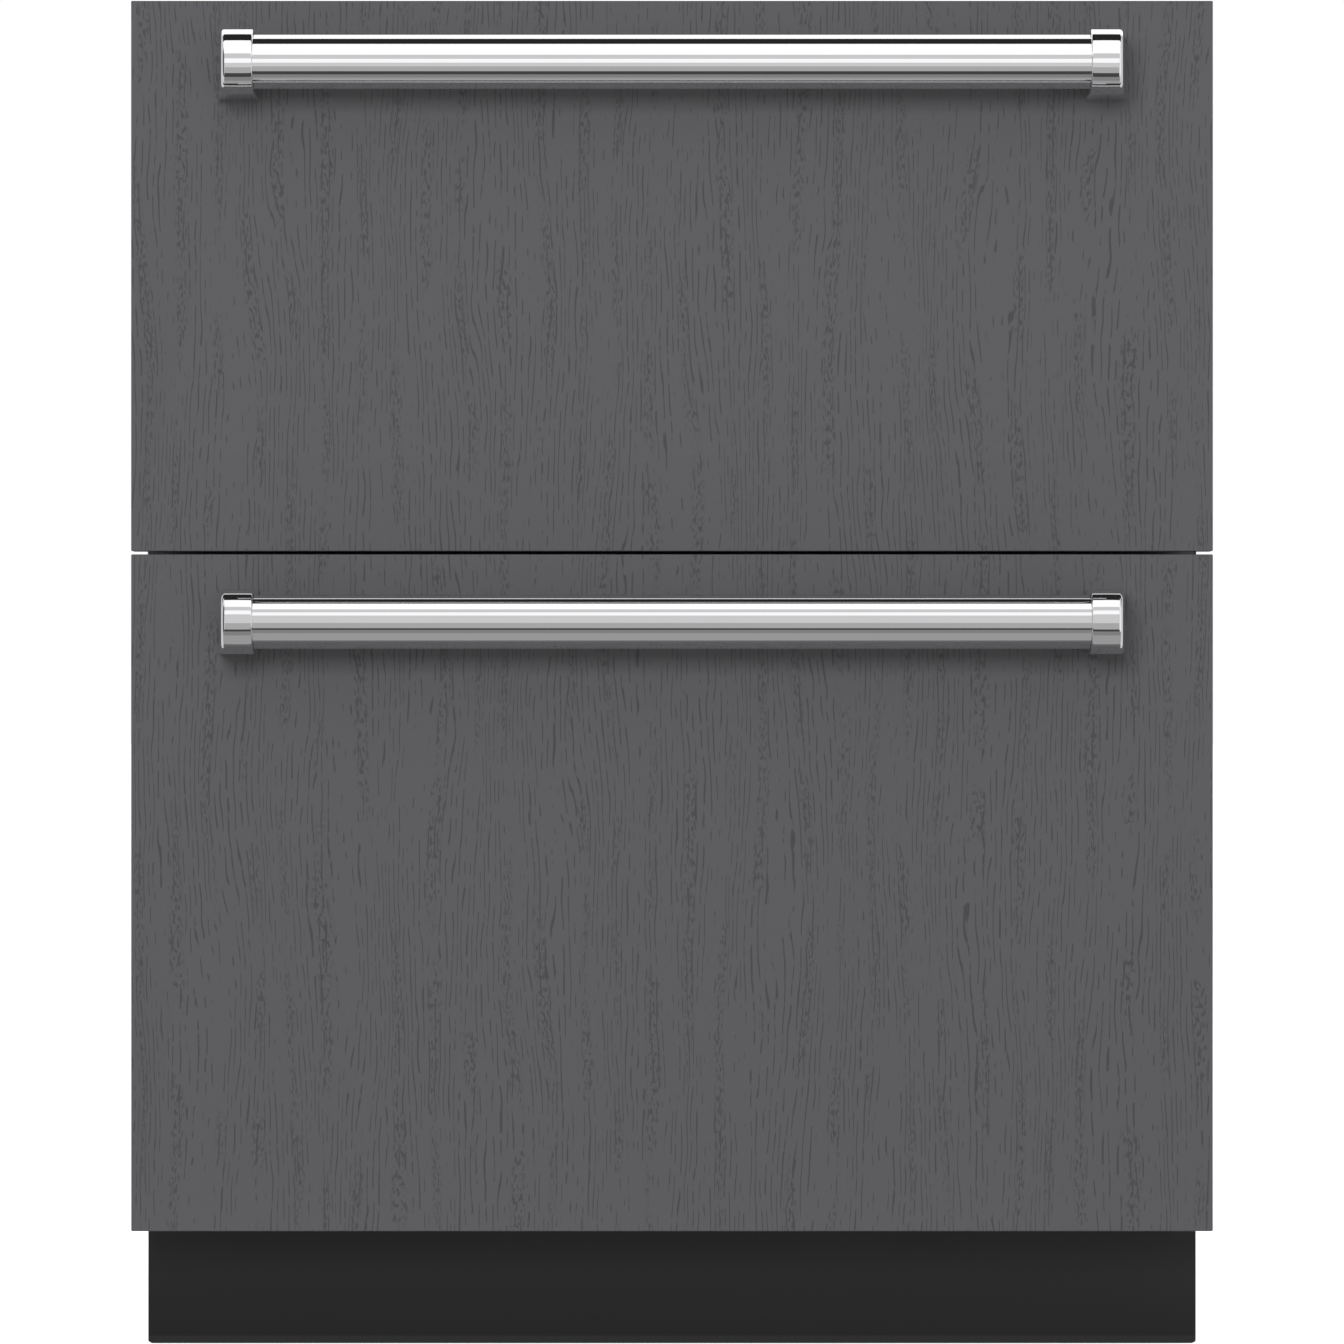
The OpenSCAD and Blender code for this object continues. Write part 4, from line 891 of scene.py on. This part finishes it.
# %% Floor, world and lights
FLOOR_SIZE, FLOOR_GLOW = 30.0, 0.75
AMBIENT = 0.66  # the world's light, where 1 is the white that the camera sees
floor_mesh = bmesh.new()
bmesh.ops.create_grid(floor_mesh, x_segments=4, y_segments=4, size=FLOOR_SIZE)
floor_data = bpy.data.meshes.new("floor")
floor_mesh.to_mesh(floor_data)
floor_mesh.free()
floor = bpy.data.objects.new("floor", floor_data)
scene.collection.objects.link(floor)
floor_paint = bpy.data.materials.new("floor")
paper = Nodes(floor_paint)
paper.surface({"Base Color": paper.blend(paper.cloud(0.5), grey(0.84), grey(0.86)),
               "Roughness": 0.9, "Specular IOR Level": 0.1, "Emission Color": grey(1.0),
               "Emission Strength": FLOOR_GLOW})
floor_data.materials.append(floor_paint)
floor.visible_glossy = floor.visible_diffuse = False

world = bpy.data.worlds.new("studio")
scene.world = world
sky = Nodes(world)
seen = sky.add("LightPath", out="Is Camera Ray")
ambient = sky.add("Background", {}, {"Color": grey(1.0), "Strength": AMBIENT})
to_camera = sky.add("Background", {}, {"Color": grey(1.0), "Strength": 1.0})
sky.add("OutputWorld", {}, {"Surface": sky.add("MixShader", {}, {0: seen, 1: ambient,
                                                                2: to_camera})})


def area_light(name, size, energy, place, aim):
    """A square light that faces a point and that the camera doesn't see."""
    data = bpy.data.lights.new(name, "AREA")
    data.size = size
    data.energy = energy
    light = bpy.data.objects.new(name, data)
    light.location = place
    light.rotation_euler = (Vector(place) - Vector(aim)).to_track_quat("Z", "Y").to_euler()
    light.visible_camera = False
    scene.collection.objects.link(light)
    return light


key = area_light("key", 0.95, 64.0, (-0.45, -3.67, 1.24), (0.0, -0.274, 0.45))
key.visible_glossy = False
area_light("rear_light", 2.4, 34.0, (1.6, 2.9, 2.3), (0.0, 0.336, 0.4))
print("floor, world and two lights")

# %% [markdown]
# Polished steel shows the room and nothing of its own, so the stripes on the handles are the
# studio's cards. A card is a strip that only reflections can see. Most run past the handles from
# left to right, and are given by the two points, seen from the side, that their edges go through.
# Two more stand upright beside them: a dark one at the left and a bright one at the right, which
# draw the thin lines along the posts' rounded edges.

# %% Cards for the handles' reflections
def card(name, start, end, push, strength):
    """A glowing strip, from the line between two points to where the push takes that line."""
    strip = bmesh.new()
    edge = strip.edges.new([strip.verts.new(start), strip.verts.new(end)])
    pushed = bmesh.ops.extrude_edge_only(strip, edges=[edge])
    bmesh.ops.translate(strip, vec=push, verts=moved(pushed))
    data = bpy.data.meshes.new(name)
    strip.to_mesh(data)
    strip.free()
    shown = bpy.data.objects.new(name, data)
    scene.collection.objects.link(shown)
    paint = bpy.data.materials.new(name)
    glow = Nodes(paint)
    glow.add("OutputMaterial", {}, {"Surface": glow.add(
        "Emission", {}, {"Color": grey(1.0), "Strength": strength})})
    data.materials.append(paint)
    shown.visible_camera = shown.visible_diffuse = shown.visible_shadow = False
    shown.visible_transmission = shown.visible_volume_scatter = False


CARD_HALF = 0.5
SIDE_CARD_Y, SIDE_CARD_END, SIDE_CARD_H = -0.75, 1.3, 1.3
WOOD_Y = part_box("lower_overlay_panel")[0].y
CARDS = {
    "card_overhead": ((-0.70, 0.975), (-0.41, 1.11), 1.15),
    "card_dark_overhead": ((-0.41, 1.11), (-0.24, 1.11), 0.02),
    "card_behind_overhead": ((-0.24, 1.11), (0.70, 1.11), 1.15),
    "card_strip": ((-0.795, 0.86), (-0.85, 0.72), 1.08),
    "card_dim": ((-1.225, 0.38), (-0.97, 0.125), 0.43),
    "card_dark": ((-0.97, 0.125), (-0.63, 0.25), 0.06),
    "card_low": ((-0.63, 0.25), (-0.435, 0.335), 0.24),
    "card_lowest": ((-0.435, 0.335), (-0.345, 0.08), 0.35),
    "card_toe": ((-0.36, 0.005), (-0.20, 0.005), 0.14),
    "card_over_lower_handle": ((-0.32, 0.575), (-0.285, 0.575), 0.02),
    "card_by_the_wood": ((-0.285, 0.575), (WOOD_Y - 2 * MM, 0.575), 1.0),
}
for name, (near, far, strength) in CARDS.items():
    card(name, (-CARD_HALF, *near), (-CARD_HALF, *far), (2 * CARD_HALF, 0, 0), strength)
for name, side, strength in (("card_left", -1, 0.12), ("card_right", 1, 0.9)):
    card(name, (side * CARD_HALF, SIDE_CARD_Y, 0), (side * SIDE_CARD_END, SIDE_CARD_Y, 0),
         (0, 0, SIDE_CARD_H), strength)
print(len(CARDS) + 2, "cards")
